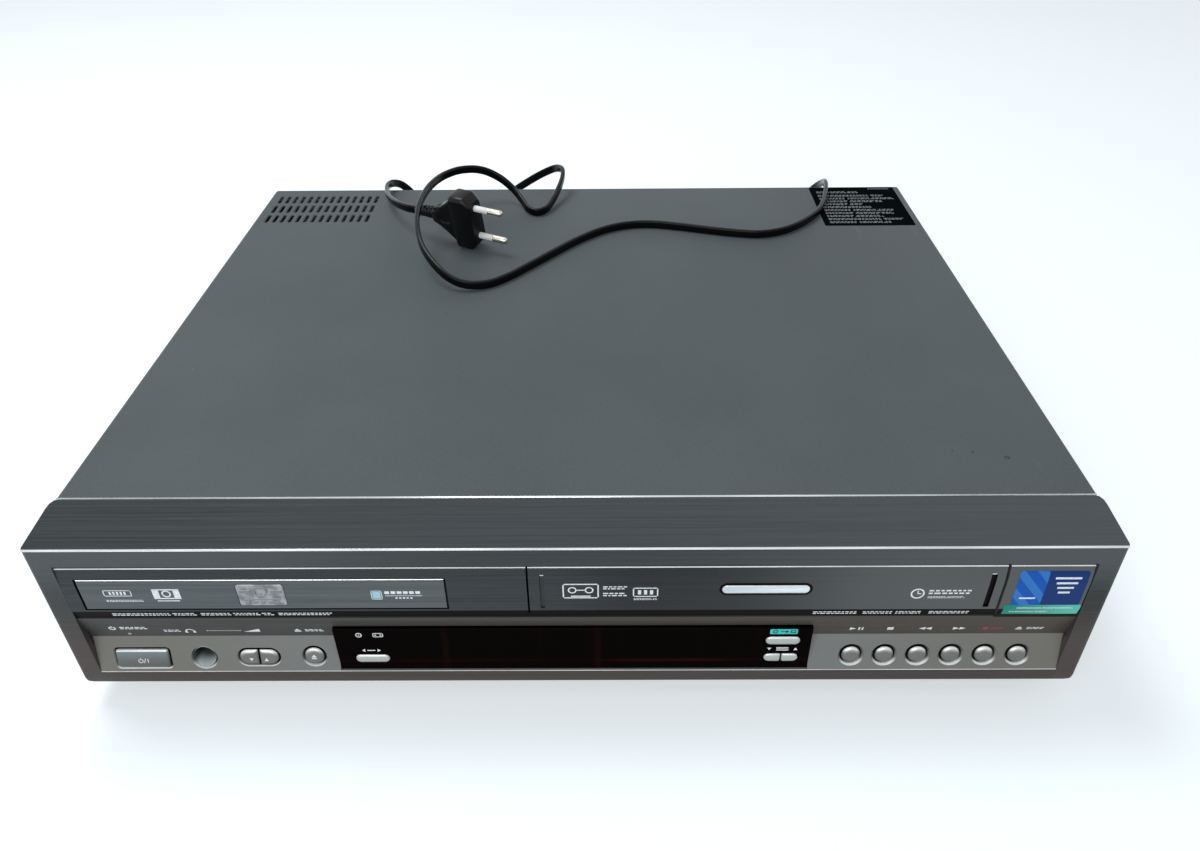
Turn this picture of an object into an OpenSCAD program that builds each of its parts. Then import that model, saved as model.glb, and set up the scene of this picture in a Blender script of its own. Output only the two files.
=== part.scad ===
// Disc player and cassette recorder in one case.
// Case frame used below: x from the middle, y back from the front face, z up from the case's underside.

/* [Case] */
// Width of the front along its lip
case_w = 430; // [426:1:440]
// Depth from the front face to the ends of the rear sockets
case_d = 360; // [358:0.5:362]
// Height of the feet under the case
foot_h = 11; // [8:1:16]
// Height of the top cover over the case's underside
cover_h = 81.2; // [81:0.1:84]
// Sheet steel of the cover and the chassis
sheet = 1; // [0.8:0.1:1]

/* [Front] */
// Depth of the moulded front, where the steel cover begins
front_d = 28.5; // [26:0.5:28.5]
// Height of the polished lip
lip_h = 79.2; // [78.6:0.1:79.6]
// Height of the upper edge of the panel opening
opening_top = 70.2; // [70.2:0.1:71]
// Height of the upper edge of the button panel's brow
brow_h = 40.6; // [40:0.1:40.8]
// Wall of the mouldings
wall = 2.5; // [2.2:0.1:2.6]

/* [Vents] */
// Slots in each row
vent_n = 14; // [6:1:14]
// Distance between slots
vent_pitch = 5; // [4:0.5:5]
// Length of a slot
vent_l = 11.5; // [8:0.5:12]

/* [Buttons] */
// Diameter of the six transport buttons
round_d = 8.2; // [7:0.1:8.6]
// Distance between the transport buttons
round_pitch = 14.2; // [13.8:0.1:14.3]
// How far the buttons stand out of the panel
button_out = 1.2; // [0.8:0.1:1.6]
// Free space round each button
button_gap = 0.35; // [0.3:0.05:0.5]

/* [Disc tray] */
// Width of the tray
tray_w = 140; // [136:1:140]
// Diameter of the disc recess
disc_recess_d = 122; // [121:0.5:124]

/* [Cassette deck] */
// Inner width of the cassette basket
basket_w = 189; // [188.5:0.5:189]
// Diameter of the head drum
drum_d = 62; // [60:1:62]
// Lean of the head drum
drum_lean = 5.97; // [5:0.01:6]

/* [Mains cord] */
// Width of the flat cord
cord_d = 5.2; // [4.4:0.1:5.4]

/* [Hidden] */
$fn = 48;

case_x = case_w / 2;
shoulder_x = case_x + 1.2;
shoulder_y = 25;
cover_x = case_x + 0.3;
cover_back = 355.7;
panel_y = 353.7;
chassis_x = cover_x - sheet - 0.2;

// front opening and its panels
opening_x = case_x - 8.5;
panel_top = 69.8;
panel_foot = 41.2;
panel_t = 3.5;
panel_left = -206.4;
dvd_right = -19.1;
cassette_left = -18.3;
cassette_right = 171.6;
av_left = 172.8;
av_right = 205.9;
tray_cx = -125.8;
tray_door_w = 147.4;
tray_door_z = [47, 63];
cassette_cx = (cassette_left + cassette_right) / 2;
flap_hinge = [5, 67.5];
av_hinge = [3, 43.2];
hinge_r = 1.5;
run = 0.05;

// the button panel leans back by one in four from its lower edge
slope_foot = 7.5;
slope_top = 25.5;
slope_run = 0.25;
slope_tilt = 90 - atan(slope_run);
button_z = 15;
round_x = 117.6;
power_at = [-186.8, 14.5];
level_at = [-136.7, 14.8];
open_at = [-112.8, 15.2];
phones_at = [-160.4, 14.6];
window_x = [-101.9, 99.2];
window_z = [8.5, 34.8];
window_y = 0.7;
select_at = [-87.3, 15];
copy_at = [87.25, 25.5];
program_at = [87.25, 14.9];
board_y = 16;
board_t = 1.6;
switch_reach = 8.4;

// disc loader, seen from the middle of its turntable
disc_y = 80;
tray_z = 52;
tray_top = 58;
tray_back = 166;
loader_z = 42;
rack_line = 62;
gear_teeth = 20;
rack_teeth = 48;
gear_at = [rack_line - 10, 20];

// cassette deck, seen from the middle of the slot
deck_z = 13;
deck_t = 1.5;
deck_top = deck_z + deck_t;
basket_y = [34, 138];
basket_z = [41.3, 69.7];
basket_side = 1.2;
slide_t = 3;
side_x = basket_w / 2 + basket_side + 0.5 + slide_t + 0.45;
reel_x = 46;
reel_y = 120;
drum_y = 225;
drum_z = 18.5;
guide_in = [26, 172];
guide_out = [42, 230];
capstan_at = [58, 196];
pinch_pivot = [80, 214];
pinch_arm_l = 20.6;
pinch_rest_a = 175.8;

// rear
gland_at = [152, 33];

// the cord's two free stretches; between them lies the coil, behind the case on the table
cord_lead = [
    [152, 373, 33], [152, 384, 34.5], [152.8, 391.5, 40], [155, 394.5, 48.5], [158.6, 392.5, 57.5],
    [162.4, 387, 66], [165, 379.5, 73], [165.8, 371.5, 78], [165.6, 363.5, 81.7], [164.7, 355.5, 83.6],
    [163, 346, 84], [159.6, 333, 83.9], [155.3, 319, 83.9], [149, 306, 83.9],
    [138, 292, 83.9], [125, 281, 83.9], [110, 275.5, 83.9], [95, 277, 83.9], [78, 281.5, 83.9],
    [60, 287, 83.9], [42, 291, 83.9], [26, 289.5, 83.9], [11, 282, 83.9], [-4, 268, 83.9],
    [-18, 251, 83.9], [-31, 234.5, 83.9], [-43, 220, 83.9], [-54, 211, 84], [-66, 208.5, 85.2],
    [-76, 211.5, 88.5], [-85, 220, 93], [-92.5, 232, 98], [-97, 248, 102.5], [-99, 266, 105.5],
    [-98.5, 284, 106.6], [-96, 301, 106.8], [-90.5, 317, 106.4], [-81, 329.5, 105.4],
    [-69, 336, 102.8], [-57.5, 336, 97.6], [-48, 330.5, 91.8], [-41.5, 322, 87.2], [-37.2, 314.4, 84.6],
    [-31.4, 310.6, 83.9], [-25.6, 314.6, 84.3], [-22, 323, 85.8], [-18.8, 333, 88.6], [-16, 344, 92.3], [-15.8, 354.5, 94.8],
    [-21, 365, 92.5], [-31, 370.5, 86.5], [-42, 374, 79], [-53, 379, 70], [-62, 385, 59],
    [-68.5, 391, 46], [-72, 396, 32], [-73.5, 400, 18], [-76, 403, 5], [-80, 407, -4], [-87, 409.5, -7.6]
];
cord_tail = [
    [-101, 409.5, -7.6], [-109, 405, -4], [-113.5, 398, 5], [-115.5, 390, 18], [-116, 383, 32],
    [-116.5, 377, 47], [-118.5, 371.5, 62], [-123, 367, 74], [-129, 363.5, 82], [-133.5, 357, 85.6],
    [-135, 348, 87], [-133, 335, 88.3], [-129.3, 323, 90.2], [-125, 312, 92.2], [-120, 302, 94.3],
    [-115, 294, 96], [-109.6, 287.6, 97.1], [-103.2, 283.2, 97.9]
];
coil_at = [-94, 438];
coil_r = 28.5;
coil_w = 11;
coil_h = 9.4;
plug_at = [-67.8, 262.5];
plug_turn = -28;
plug_lean = 10;
plug_h = 35.3;
plug_t = 13.7;
pin_gap = 18.6;

module place() {
    translate([0, -case_d / 2, foot_h]) children();
}

// a block given by two opposite corners
module block(a, b) {
    translate(a) cube(b - a);
}

// an outline in y and z, drawn out along x
module along_x(x0, x1) {
    translate([x0, 0, 0]) rotate([90, 0, 90]) linear_extrude(x1 - x0) children();
}

// an outline in x and z, drawn out along y
module along_y(y0, y1) {
    translate([0, y1, 0]) rotate([90, 0, 0]) linear_extrude(y1 - y0) children();
}

module round_rect(w, h, r) {
    square([w - 2 * r, h], center = true);
    square([w, h - 2 * r], center = true);
    for (x = [-1, 1], y = [-1, 1]) translate([x * (w / 2 - r), y * (h / 2 - r)]) circle(r);
}

module pill(w, h) {
    square([w - h, h], center = true);
    for (x = [-1, 1]) translate([x * (w - h) / 2, 0]) circle(d = h);
}

module upright(at, r, z0, z1) {
    translate([at[0], at[1], z0]) cylinder(r = r, h = z1 - z0);
}

module lying_y(x, z, r, y0, y1) {
    translate([x, y0, z]) rotate([-90, 0, 0]) cylinder(r = r, h = y1 - y0);
}

module lying_x(y, z, r, x0, x1) {
    translate([x0, y, z]) rotate([0, 90, 0]) cylinder(r = r, h = x1 - x0);
}

// puts its children on the button panel, their z standing out of it
module on_slope(at) {
    translate([at[0], slope_run * (at[1] - slope_foot), at[1]]) rotate([slope_tilt, 0, 0]) children();
}

// ---- case ----

module cover_outline(x, top, r) {
    difference() {
        translate([-x, 0.5]) square([2 * x, top - 0.5]);
        for (s = [-1, 1]) translate([s * x - (s > 0 ? r : 0), top - r]) square(r);
    }
    for (s = [-1, 1]) translate([s * (x - r), top - r]) circle(r);
}

module vent_rows() {
    for (row = [0:2], i = [0:vent_n - 1])
        translate([-207 + i * vent_pitch, 340 - row * 15.4, cover_h - 5])
            linear_extrude(10) rotate(90) pill(vent_l, 2);
}

module side_vents() {
    for (s = [-1, 1], i = [0:9])
        translate([s * cover_x, 230 + i * 10, 55]) rotate([0, 90, 0])
            linear_extrude(10, center = true) pill(24, 3);
}

cover_side_screws = [[70, 18], [300, 18]];
cover_tab_x = [-150, 0, 175];

module top_cover() {
    color("#5a6365") difference() {
        union() {
            difference() {
                along_y(front_d + 0.2, cover_back) cover_outline(cover_x, cover_h, 2);
                along_y(front_d - 1, cover_back + 1) translate([0, -1])
                    cover_outline(cover_x - sheet, cover_h - sheet + 1, 1);
            }
            for (x = cover_tab_x) block([x - 8, cover_back - sheet, cover_h - 10], [x + 8, cover_back, cover_h - 1]);
        }
        vent_rows();
        side_vents();
        for (s = [-1, 1], p = cover_side_screws) lying_x(p[0], p[1], 1.5, s * cover_x - 3, s * cover_x + 3);
        for (x = cover_tab_x) lying_y(x, cover_h - 6, 1.5, cover_back - 4, cover_back + 1);
    }
}

foot_at = [[-165, 45], [165, 45], [-165, 310], [165, 310]];
main_board_posts = [[-198, 60], [-45, 60], [-198, 200], [-45, 200], [-198, 330], [-45, 330]];
supply_posts = [[0, 276], [198, 276], [0, 338], [198, 338]];
deck_posts = [[-20, 68], [173, 68], [-20, 250], [173, 250]];
loader_posts = [[-202.4, 40], [-49.2, 40], [-202.4, 172], [-49.2, 172]];
board_z = 9;

module bottom_chassis() {
    color("silver") difference() {
        union() {
            block([-chassis_x, front_d, 0], [chassis_x, panel_y, sheet]);
            block([-chassis_x, front_d, 0], [chassis_x, front_d + sheet, 22]);
            block([-chassis_x, panel_y - sheet, 0], [chassis_x, panel_y, 10]);
            for (s = [-1, 1]) block([s * (chassis_x - sheet / 2) - sheet / 2, front_d, 0],
                                    [s * (chassis_x - sheet / 2) + sheet / 2, panel_y, 30]);
        }
        for (p = foot_at) upright(p, 1.5, -1, 5);
        for (s = [-1, 1], p = cover_side_screws) lying_x(p[0], p[1], 1.5, s * chassis_x - 3, s * chassis_x + 3);
        for (i = [0:11], s = [-1, 1]) translate([s * 100 + (i - 5.5) * 8, 300, -1])
            linear_extrude(5) rotate(90) pill(30, 3);
        for (x = hook_x) block([x - 8.3, front_d - 1, 3.7], [x + 8.3, front_d + 3, 6.3]);
    }
}

scart_x = [-176, -120];
scart_z = 24;
phono_x = [-76, -62, -48];
phono_z = [18, 32];
aerial_x = [20, 44];
aerial_z = 24;

module rear_panel() {
    color("silver") difference() {
        union() {
            block([-chassis_x, panel_y, sheet], [chassis_x, panel_y + sheet, cover_h - sheet]);
            block([-chassis_x, panel_y - 11, cover_h - 2 * sheet], [chassis_x, panel_y, cover_h - sheet]);
        }
        for (x = scart_x) block([x - 24, panel_y - 1, scart_z - 8], [x + 24, panel_y + 2, scart_z + 8]);
        for (x = phono_x, z = phono_z) lying_y(x, z, 5, panel_y - 1, panel_y + 2);
        for (x = aerial_x) lying_y(x, aerial_z, 6, panel_y - 1, panel_y + 2);
        block([gland_at[0] - 5, panel_y - 1, gland_at[1] - 5], [gland_at[0] + 5, panel_y + 2, gland_at[1] + 5]);
        for (x = cover_tab_x) lying_y(x, cover_h - 6, 1.5, panel_y - 2, panel_y + 2);
        for (i = [0:17]) translate([60 + i * 7, panel_y, 58]) rotate([90, 0, 0])
            linear_extrude(8, center = true) rotate(90) pill(20, 3);
    }
}

foot_r = 19;

module feet() {
    color("#222222") for (p = foot_at) difference() {
        union() {
            upright(p, foot_r, -foot_h + 2, 0);
            upright(p, foot_r - 2, -foot_h, -foot_h + 2);
        }
        upright(p, 4, -foot_h - 1, -5);
        upright(p, 1.5, -6, 1);
    }
}

screw_head_r = 2.8;
screw_r = 1.45;

// a low-headed machine screw whose head stands on z = 0
module screw(l) {
    difference() {
        cylinder(r = screw_head_r, h = 0.9);
        for (a = [0, 90]) rotate(a) translate([0, 0, 0.9]) cube([3, 0.7, 0.8], center = true);
    }
    translate([0, 0, -l]) cylinder(r = screw_r, h = l);
}

// a threaded post pressed into the chassis
module standoff(p, r, top, hole) {
    difference() {
        upright(p, r, sheet, top);
        upright(p, 1.5, top - hole, top + 1);
    }
}

module fasteners() {
    color("gray") {
        for (p = concat(main_board_posts, supply_posts)) standoff(p, 3.5, board_z, 6);
        for (p = deck_posts) standoff(p, 4, deck_z, 8);
        for (p = loader_posts) standoff(p, 3, loader_z, 10);
        for (p = cover_side_screws) {
            translate([cover_x, p[0], p[1]]) rotate([0, 90, 0]) screw(6);
            translate([-cover_x, p[0], p[1]]) rotate([0, -90, 0]) screw(6);
        }
        for (x = cover_tab_x) translate([x, cover_back, cover_h - 6]) rotate([-90, 0, 0]) screw(6);
        for (p = foot_at) translate([p[0], p[1], -5]) rotate([180, 0, 0]) screw(8);
        for (p = concat(main_board_posts, supply_posts)) translate([p[0], p[1], board_z + board_t]) screw(6);
        for (p = deck_posts) translate([p[0], p[1], deck_top]) screw(7);
        for (p = loader_posts) translate([p[0], p[1], loader_z + 2]) screw(8);
    }
}

// ---- moulded front ----

hook_x = [-150, 0, 150];

module front_top_section() {
    polygon([[0, opening_top], [0, lip_h], [front_d, cover_h], [front_d, cover_h - wall],
             [3, lip_h - wall], [3, opening_top]]);
}

module front_low_section() {
    polygon([[0.5, brow_h], [4.5, slope_top], [0, slope_foot], [0, 0], [front_d, 0], [front_d, wall],
             [2.6, wall], [2.6, 7.3], [7.1, slope_top], [3.1, brow_h]]);
}

// plan of the moulded front: its cheeks swell towards the cover
module front_plan() {
    polygon([[-case_x, 0], [case_x, 0], [shoulder_x, shoulder_y], [shoulder_x, shoulder_y + 1.5], [cover_x, front_d],
             [-cover_x, front_d], [-shoulder_x, shoulder_y + 1.5], [-shoulder_x, shoulder_y]]);
}

module front_cheek(s) {
    x = s * (shoulder_x - wall / 2);
    along_x(x - wall / 2, x + wall / 2)
        polygon([[0, 0], [0, lip_h], [front_d, cover_h], [front_d, 0]]);
    post = s * (shoulder_x + opening_x) / 2;
    half = (shoulder_x - opening_x) / 2;
    along_x(post - half, post + half)
        square([3, lip_h]);
}

module corner_cut(s) {
    r = 3.5;
    difference() {
        block([s * case_x - (s > 0 ? r : 3), -1, -1], [s * case_x + (s > 0 ? 3 : r), front_d + 1, r]);
        lying_y(s * (shoulder_x - r), r, r, -2, front_d + 2);
    }
}

module hinge_lug(x0, x1, hinge, y1, z0, z1) {
    difference() {
        block([x0, 3.7, z0], [x1, y1, z1]);
        lying_x(hinge[0], hinge[1], hinge_r + run, x0 - 1, x1 + 1);
    }
}

module button_cut(at, w, h, r) {
    on_slope(at) translate([0, 0, -8]) linear_extrude(16) round_rect(w, h, r);
}

module front_fascia() {
    color("#50585a") difference() {
        union() {
            intersection() {
                union() {
                    along_x(-shoulder_x, shoulder_x) front_top_section();
                    along_x(-shoulder_x, shoulder_x) front_low_section();
                    front_cheek(-1);
                    front_cheek(1);
                }
                translate([0, 0, -1]) linear_extrude(cover_h + 2) front_plan();
            }
            hinge_lug(cassette_left - 3.2, cassette_left - 1.2, flap_hinge, 9, 62, 77.5);
            hinge_lug(cassette_right + 0.6, cassette_right + 2.4, flap_hinge, 9, 62, 77.5);
            for (x = hook_x) block([x - 8, 20, 4], [x + 8, front_d + 4, 6]);
            for (x = hook_x) block([x - 8, 20, 1], [x + 8, 22, 6]);
            for (x = [-203, 0, 203]) block([x - 3, 2, 5], [x + 3, board_y, 9]);
        }
        for (s = [-1, 1]) corner_cut(s);
        // the drop-down flap turns in a pocket of the brow
        block([av_left - 0.8, -1, 39.7], [opening_x, 6.5, brow_h + 1]);
        block([window_x[0] - 0.1, -1, window_z[0] - 0.1], [window_x[1] + 0.1, 9, window_z[1] + 0.1]);
        button_cut(power_at, 22.8 + 2 * button_gap, 9.2 + 2 * button_gap, 1.5);
        button_cut(level_at, 17.8, 8.4, 4.1);
        on_slope(open_at) cylinder(r = 4.3 + button_gap, h = 16, center = true);
        for (i = [0:5]) on_slope([round_x + i * round_pitch, button_z])
            cylinder(d = round_d + 2 * button_gap, h = 16, center = true);
        lying_y(phones_at[0], phones_at[1], 5.4, -1, 12);
    }
}

// outline of the upper panels: the foot is undercut and the head leans back
module panel_section(z0, z1, t) {
    intersection() {
        polygon([[0.8, panel_foot], [0, 45.3], [0, 60], [0.3, 64], [1.3, panel_top], [t, panel_top],
                 [t, panel_foot]]);
        translate([-1, z0]) square([t + 2, z1 - z0]);
    }
}

module dvd_panel() {
    color("#4f5253") difference() {
        union() {
            along_x(panel_left, dvd_right) panel_section(panel_foot, panel_top, panel_t);
            along_x(-204, -26) polygon([[3, 66], [3, 73], [4.6, 73], [4.6, 66]]);
            along_x(-204, -26) polygon([[panel_t, 44], [5.5, 44], [5.5, 36], [4.6, 36], [4.2, 41.2], [panel_t, 41.2]]);
        }
        block([tray_cx - tray_door_w / 2 - 1, -1, tray_door_z[0] - 0.8],
              [tray_cx + tray_door_w / 2 + 0.8, 10, tray_door_z[1] + 0.5]);
    }
}

module tray_door() {
    color("#515455") difference() {
        union() {
            along_x(tray_cx - tray_door_w / 2, tray_cx + tray_door_w / 2)
                panel_section(tray_door_z[0], tray_door_z[1], 3);
            for (s = [-1, 1]) block([tray_cx + s * 60 - 4, 3, 53], [tray_cx + s * 60 + 4, 5, 57]);
        }
        block([tray_cx - 10, -1, 50.2], [tray_cx + 10, 0.3, 60.8]);
    }
}

module cassette_door() {
    color("#4f5253") difference() {
        union() {
            along_x(cassette_left, cassette_right) panel_section(panel_foot, panel_top, 3.2);
            for (x = [cassette_left, cassette_right - 3])
                along_x(x, x + 3) polygon([[3, 64.5], [3, 69.6], [5, 69.8], [7, 69], [7.3, 67.5], [6, 65.5]]);
            lying_x(flap_hinge[0], flap_hinge[1], hinge_r, cassette_left - 3, cassette_left + 1);
            lying_x(flap_hinge[0], flap_hinge[1], hinge_r, cassette_right - 1, cassette_right + 2.3);
        }
        for (x = [-12.9, 167.0]) block([x - 0.9, -1, 46.5], [x + 0.9, 0.5, 65.5]);
    }
}

module av_door() {
    color("#4f5253") {
        along_x(av_left, av_right) panel_section(panel_foot, panel_top, 3.2);
        lying_x(av_hinge[0], av_hinge[1], hinge_r - 0.3, av_left - 0.5, av_right + 0.4);
    }
}

module display_window() {
    color("#0d0607") difference() {
        block([window_x[0], window_y, window_z[0]], [window_x[1], 8, window_z[1]]);
        block([window_x[0] + 1.5, window_y + 2, window_z[0] + 1.5], [window_x[1] - 1.5, 9, window_z[1] - 1.5]);
        for (at = [select_at, copy_at, program_at]) translate([at[0], 0, at[1]]) rotate([90, 0, 0])
            linear_extrude(12, center = true) pill(15.2 + button_gap, 5.4 + 2 * button_gap);
    }
}

// ---- buttons: cap, collar behind the panel, and stem to its switch ----

module button_cap(out) {
    translate([0, 0, -3.4]) linear_extrude(3.4 + out) children();
}

module button_stem(collar_w, collar_h) {
    translate([0, 0, -4.4]) linear_extrude(1.2) round_rect(collar_w, collar_h, 1);
    translate([0, 0, -switch_reach]) cylinder(r = 1.5, h = switch_reach - 2);
}

module power_button() {
    color("#9aa0a4") on_slope(power_at) {
        button_cap(button_out) round_rect(22.8, 9.2, 1.2);
        button_stem(24.8, 11.2);
    }
}

module half_pill(w, h, side) {
    intersection() {
        pill(w, h);
        translate([side > 0 ? 0.25 : -w, -h]) square([w - 0.25, 2 * h]);
    }
}

module level_button(side) {
    color("#9aa0a4") on_slope(level_at) {
        button_cap(button_out) half_pill(17.8 - 2 * button_gap, 8.4 - 2 * button_gap, side);
        translate([side * 4.6, 0, 0]) button_stem(7.4, 9.4);
    }
}

module level_down_button() {
    level_button(-1);
}

module level_up_button() {
    level_button(1);
}

module open_close_button() {
    color("#9aa0a4") on_slope(open_at) {
        translate([0, 0, -3.4]) cylinder(r = 4.3, h = 3.4 + button_out);
        button_stem(10.4, 10.4);
    }
}

// buttons of the window slide straight back
module in_window(at) {
    translate([at[0], window_y, at[1]]) rotate([90, 0, 0]) children();
}

module window_cap() {
    translate([0, 0, -3]) linear_extrude(3 + button_out) children();
}

module window_stem(w) {
    translate([0, 0, -4]) linear_extrude(1.2) round_rect(w, 7, 1);
    translate([0, 0, -11]) cylinder(r = 1.5, h = 9);
}

module select_button() {
    color("#9aa0a4") in_window(select_at) {
        window_cap() pill(15.2, 5.4);
        window_stem(16.6);
    }
}

module copy_button() {
    color("#9aa0a4") in_window(copy_at) {
        window_cap() pill(15.2, 5.4);
        window_stem(16.6);
    }
}

module program_button(side) {
    color("#9aa0a4") in_window(program_at) {
        window_cap() half_pill(15.2, 5.4, side);
        translate([side * 4.2, 0, 0]) window_stem(7);
    }
}

module program_down_button() {
    program_button(-1);
}

module program_up_button() {
    program_button(1);
}

// a domed cap, its edge lower than its crown
module transport_button(i) {
    color("#9aa0a4") on_slope([round_x + i * round_pitch, button_z]) {
        r = round_d / 2;
        rotate_extrude() polygon([[0, -3.4], [r, -3.4], [r, button_out - 0.5], [r - 0.5, button_out],
                                  [r - 1.6, button_out + 0.4], [0, button_out + 0.55]]);
        button_stem(10.6, 10.6);
    }
}

module play_button() {
    transport_button(0);
}

module stop_button() {
    transport_button(1);
}

module rewind_button() {
    transport_button(2);
}

module forward_button() {
    transport_button(3);
}

module record_button() {
    transport_button(4);
}

module eject_button() {
    transport_button(5);
}

// ---- sockets and board behind the front ----

jack_bore_r = 3.25;

module phones_jack() {
    color("#181818") difference() {
        union() {
            lying_y(phones_at[0], phones_at[1], 5, 3.4, 10);
            block([phones_at[0] - 6.5, 8.5, phones_at[1] - 5.5], [phones_at[0] + 6.5, 28, phones_at[1] + 6.5]);
        }
        lying_y(phones_at[0], phones_at[1], jack_bore_r, 3, 27);
    }
}

phono_shell_r = 4.15;
socket_out = 5.3;
av_jack_x = [179.2, 189.4, 199.6];
av_jack_z = 55;

// a phono socket whose mouth looks along -y
module phono_shell(x, z, y0, y1) {
    difference() {
        union() {
            lying_y(x, z, phono_shell_r, y0, y0 + socket_out);
            lying_y(x, z, phono_shell_r - 0.2, y0 + socket_out, y1);
        }
        lying_y(x, z, 3.2, y0 - 1, y1 - 1.5);
    }
    difference() {
        lying_y(x, z, 2.2, y0 + 1, y1);
        lying_y(x, z, 1.6, y0, y1 - 2);
    }
}

module av_jacks() {
    color("#2a2a2a") {
        block([av_left - 0.5, 12, 42], [209, 13.6, 69]);
        for (x = av_jack_x) {
            phono_shell(x, av_jack_z, 4.4, 12.2);
            block([x - 4.6, 13.4, av_jack_z - 5], [x + 4.6, 24, av_jack_z + 5]);
        }
        // two arms carry the plate from the back of the top rail
        for (x = [176.5, 207]) {
            block([x - 1, 3, 70.4], [x + 1, 12.2, 73]);
            block([x - 1, 12, 68.9], [x + 1, 13.6, 73]);
        }
    }
}

slope_switches = [power_at, level_at - [4.6, 0], level_at + [4.6, 0], open_at];
window_switches = [select_at, copy_at, program_at - [4.2, 0], program_at + [4.2, 0]];

module tact_switch(x, z, plunger_y) {
    block([x - 3, plunger_y + 1.3, z - 3], [x + 3, board_y + 0.1, z + 3]);
    lying_y(x, z, 1.7, plunger_y, plunger_y + 1.4);
}

function switch_drop(z) = z - switch_reach * cos(slope_tilt);

module front_board() {
    color("#3f5a2d") difference() {
        union() {
            block([-205, board_y, 4], [205, board_y + board_t, 38]);
            for (p = slope_switches) tact_switch(p[0], switch_drop(p[1]), 11.5);
            for (i = [0:5]) tact_switch(round_x + i * round_pitch, switch_drop(button_z), 11.5);
            for (p = window_switches) tact_switch(p[0], p[1], 13.1);
            // display tube and its holder, between the window's buttons
            block([-62, 10, 12], [60, 14.5, 32]);
            block([-58, 14, 14], [56, board_y + 0.1, 30]);
            block([-20, board_y + board_t - 0.1, 10], [20, board_y + 5, 16]);
        }
        block([phones_at[0] - 7, 14, phones_at[1] - 6], [phones_at[0] + 7, 20, phones_at[1] + 7]);
    }
}

// ---- disc loader ----

module from_disc() {
    translate([tray_cx, disc_y, 0]) children();
}

// involute of a gear's tooth flank
function involute(base, a) = [base * (cos(a) + a * PI / 180 * sin(a)), base * (sin(a) - a * PI / 180 * cos(a))];
function involute_angle(base, r) = sqrt(pow(r / base, 2) - 1) * 180 / PI;
function turn(p, a) = [p[0] * cos(a) - p[1] * sin(a), p[0] * sin(a) + p[1] * cos(a)];
function flip(p) = [p[0], -p[1]];

// one gear tooth's outline, thinned by play for free running
function tooth(mod, n, play) =
    let (pitch_r = mod * n / 2, base = pitch_r * cos(20), tip = pitch_r + mod * 0.95, root = pitch_r - mod * 1.2,
         at_pitch = involute_angle(base, pitch_r), q = involute(base, at_pitch),
         lean = atan2(q[1], q[0]), half = 90 / n - play / pitch_r * 90 / PI,
         flank = [for (k = [0:3]) turn(involute(base, k / 3 * involute_angle(base, tip)), -lean - half)])
    concat([turn([root, 0], -180 / n + 0.5)], [turn([root, 0], -lean - half)], flank,
           [for (k = [3:-1:0]) flip(flank[k])], [turn([root, 0], lean + half)]);

module gear_outline(mod, n, play) {
    polygon([for (i = [0:n - 1], p = tooth(mod, n, play)) turn(p, i * 360 / n)]);
}

module rack_outline(mod, count, play) {
    step = PI * mod;
    tip = mod * 0.9;
    root = mod * 1.25;
    narrow = step / 4 - tip * tan(20) - play / 2;
    wide = step / 4 + root * tan(20) - play / 2;
    polygon(concat([[-root - 3, -step / 2], [-root, -step / 2]],
                   [for (i = [0:count - 1]) each [[-root, i * step - wide], [tip, i * step - narrow],
                                                 [tip, i * step + narrow], [-root, i * step + wide]]],
                   [[-root, (count - 0.5) * step], [-root - 3, (count - 0.5) * step]]));
}

module disc_tray() {
    half = tray_w / 2;
    color("#26282a") from_disc() {
        difference() {
            block([-half, 3 - disc_y, tray_z], [half, tray_back - disc_y, tray_top]);
            upright([0, 0], disc_recess_d / 2, tray_z + 2.4, tray_top + 1);
            upright([0, 0], 41, tray_z + 1.6, tray_top + 1);
            upright([0, 0], 18, tray_z - 1, tray_top + 1);
            block([-18, 0, tray_z - 1], [18, tray_back, tray_top + 1]);
            for (s = [-1, 1]) block([s * 62 - 3, 62, tray_z + 2], [s * 62 + 3, 80, tray_top + 1]);
            for (s = [-1, 1]) block([s * 60 - 4.2, 2.9 - disc_y, 52.9], [s * 60 + 4.2, 5.1 - disc_y, 57.1]);
        }
        translate([-rack_line, gear_at[1] - disc_y - 3.5 * PI, tray_z - 4])
            linear_extrude(4.1) rack_outline(1, rack_teeth, 0.2);
    }
}

module loader_frame() {
    half = tray_w / 2;
    color("#d8d4c8") from_disc() difference() {
        union() {
            block([-half - 9.5, 8 - disc_y, loader_z], [half + 9.5, 182 - disc_y, loader_z + 2]);
            for (s = [-1, 1]) {
                block([s * (half + 2) - 1.5, 8 - disc_y, loader_z], [s * (half + 2) + 1.5, 182 - disc_y, 60.5]);
                block([s * (half - 0.5) - 2.5, 8 - disc_y, tray_top + 0.6], [s * (half - 0.5) + 2.5, 182 - disc_y, 60.5]);
            }
            block([half - 4, 8 - disc_y, loader_z], [half + 1, 182 - disc_y, tray_z - 0.2]);
            block([-half - 1, 8 - disc_y, loader_z], [-half + 1.4, 182 - disc_y, tray_z - 0.2]);
            upright([-gear_at[0], gear_at[1] - disc_y], 2, loader_z, 51.5);
            for (s = [-1, 1]) block([s * 36 - 1.5, 81, 35], [s * 36 + 1.5, 91, loader_z + 1]);
            for (s = [-1, 1]) upright([s * (half + 2), 0], 1.5, 59, 62.5);
        }
        block([-34.4, -38, loader_z - 1], [34.4, 96, loader_z + 3]);
        lying_x(86, 38.5, hinge_r + run, -40, 40);
        for (p = loader_posts) upright([p[0] - tray_cx, p[1] - disc_y], 1.5, loader_z - 1, loader_z + 3);
    }
}

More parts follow.
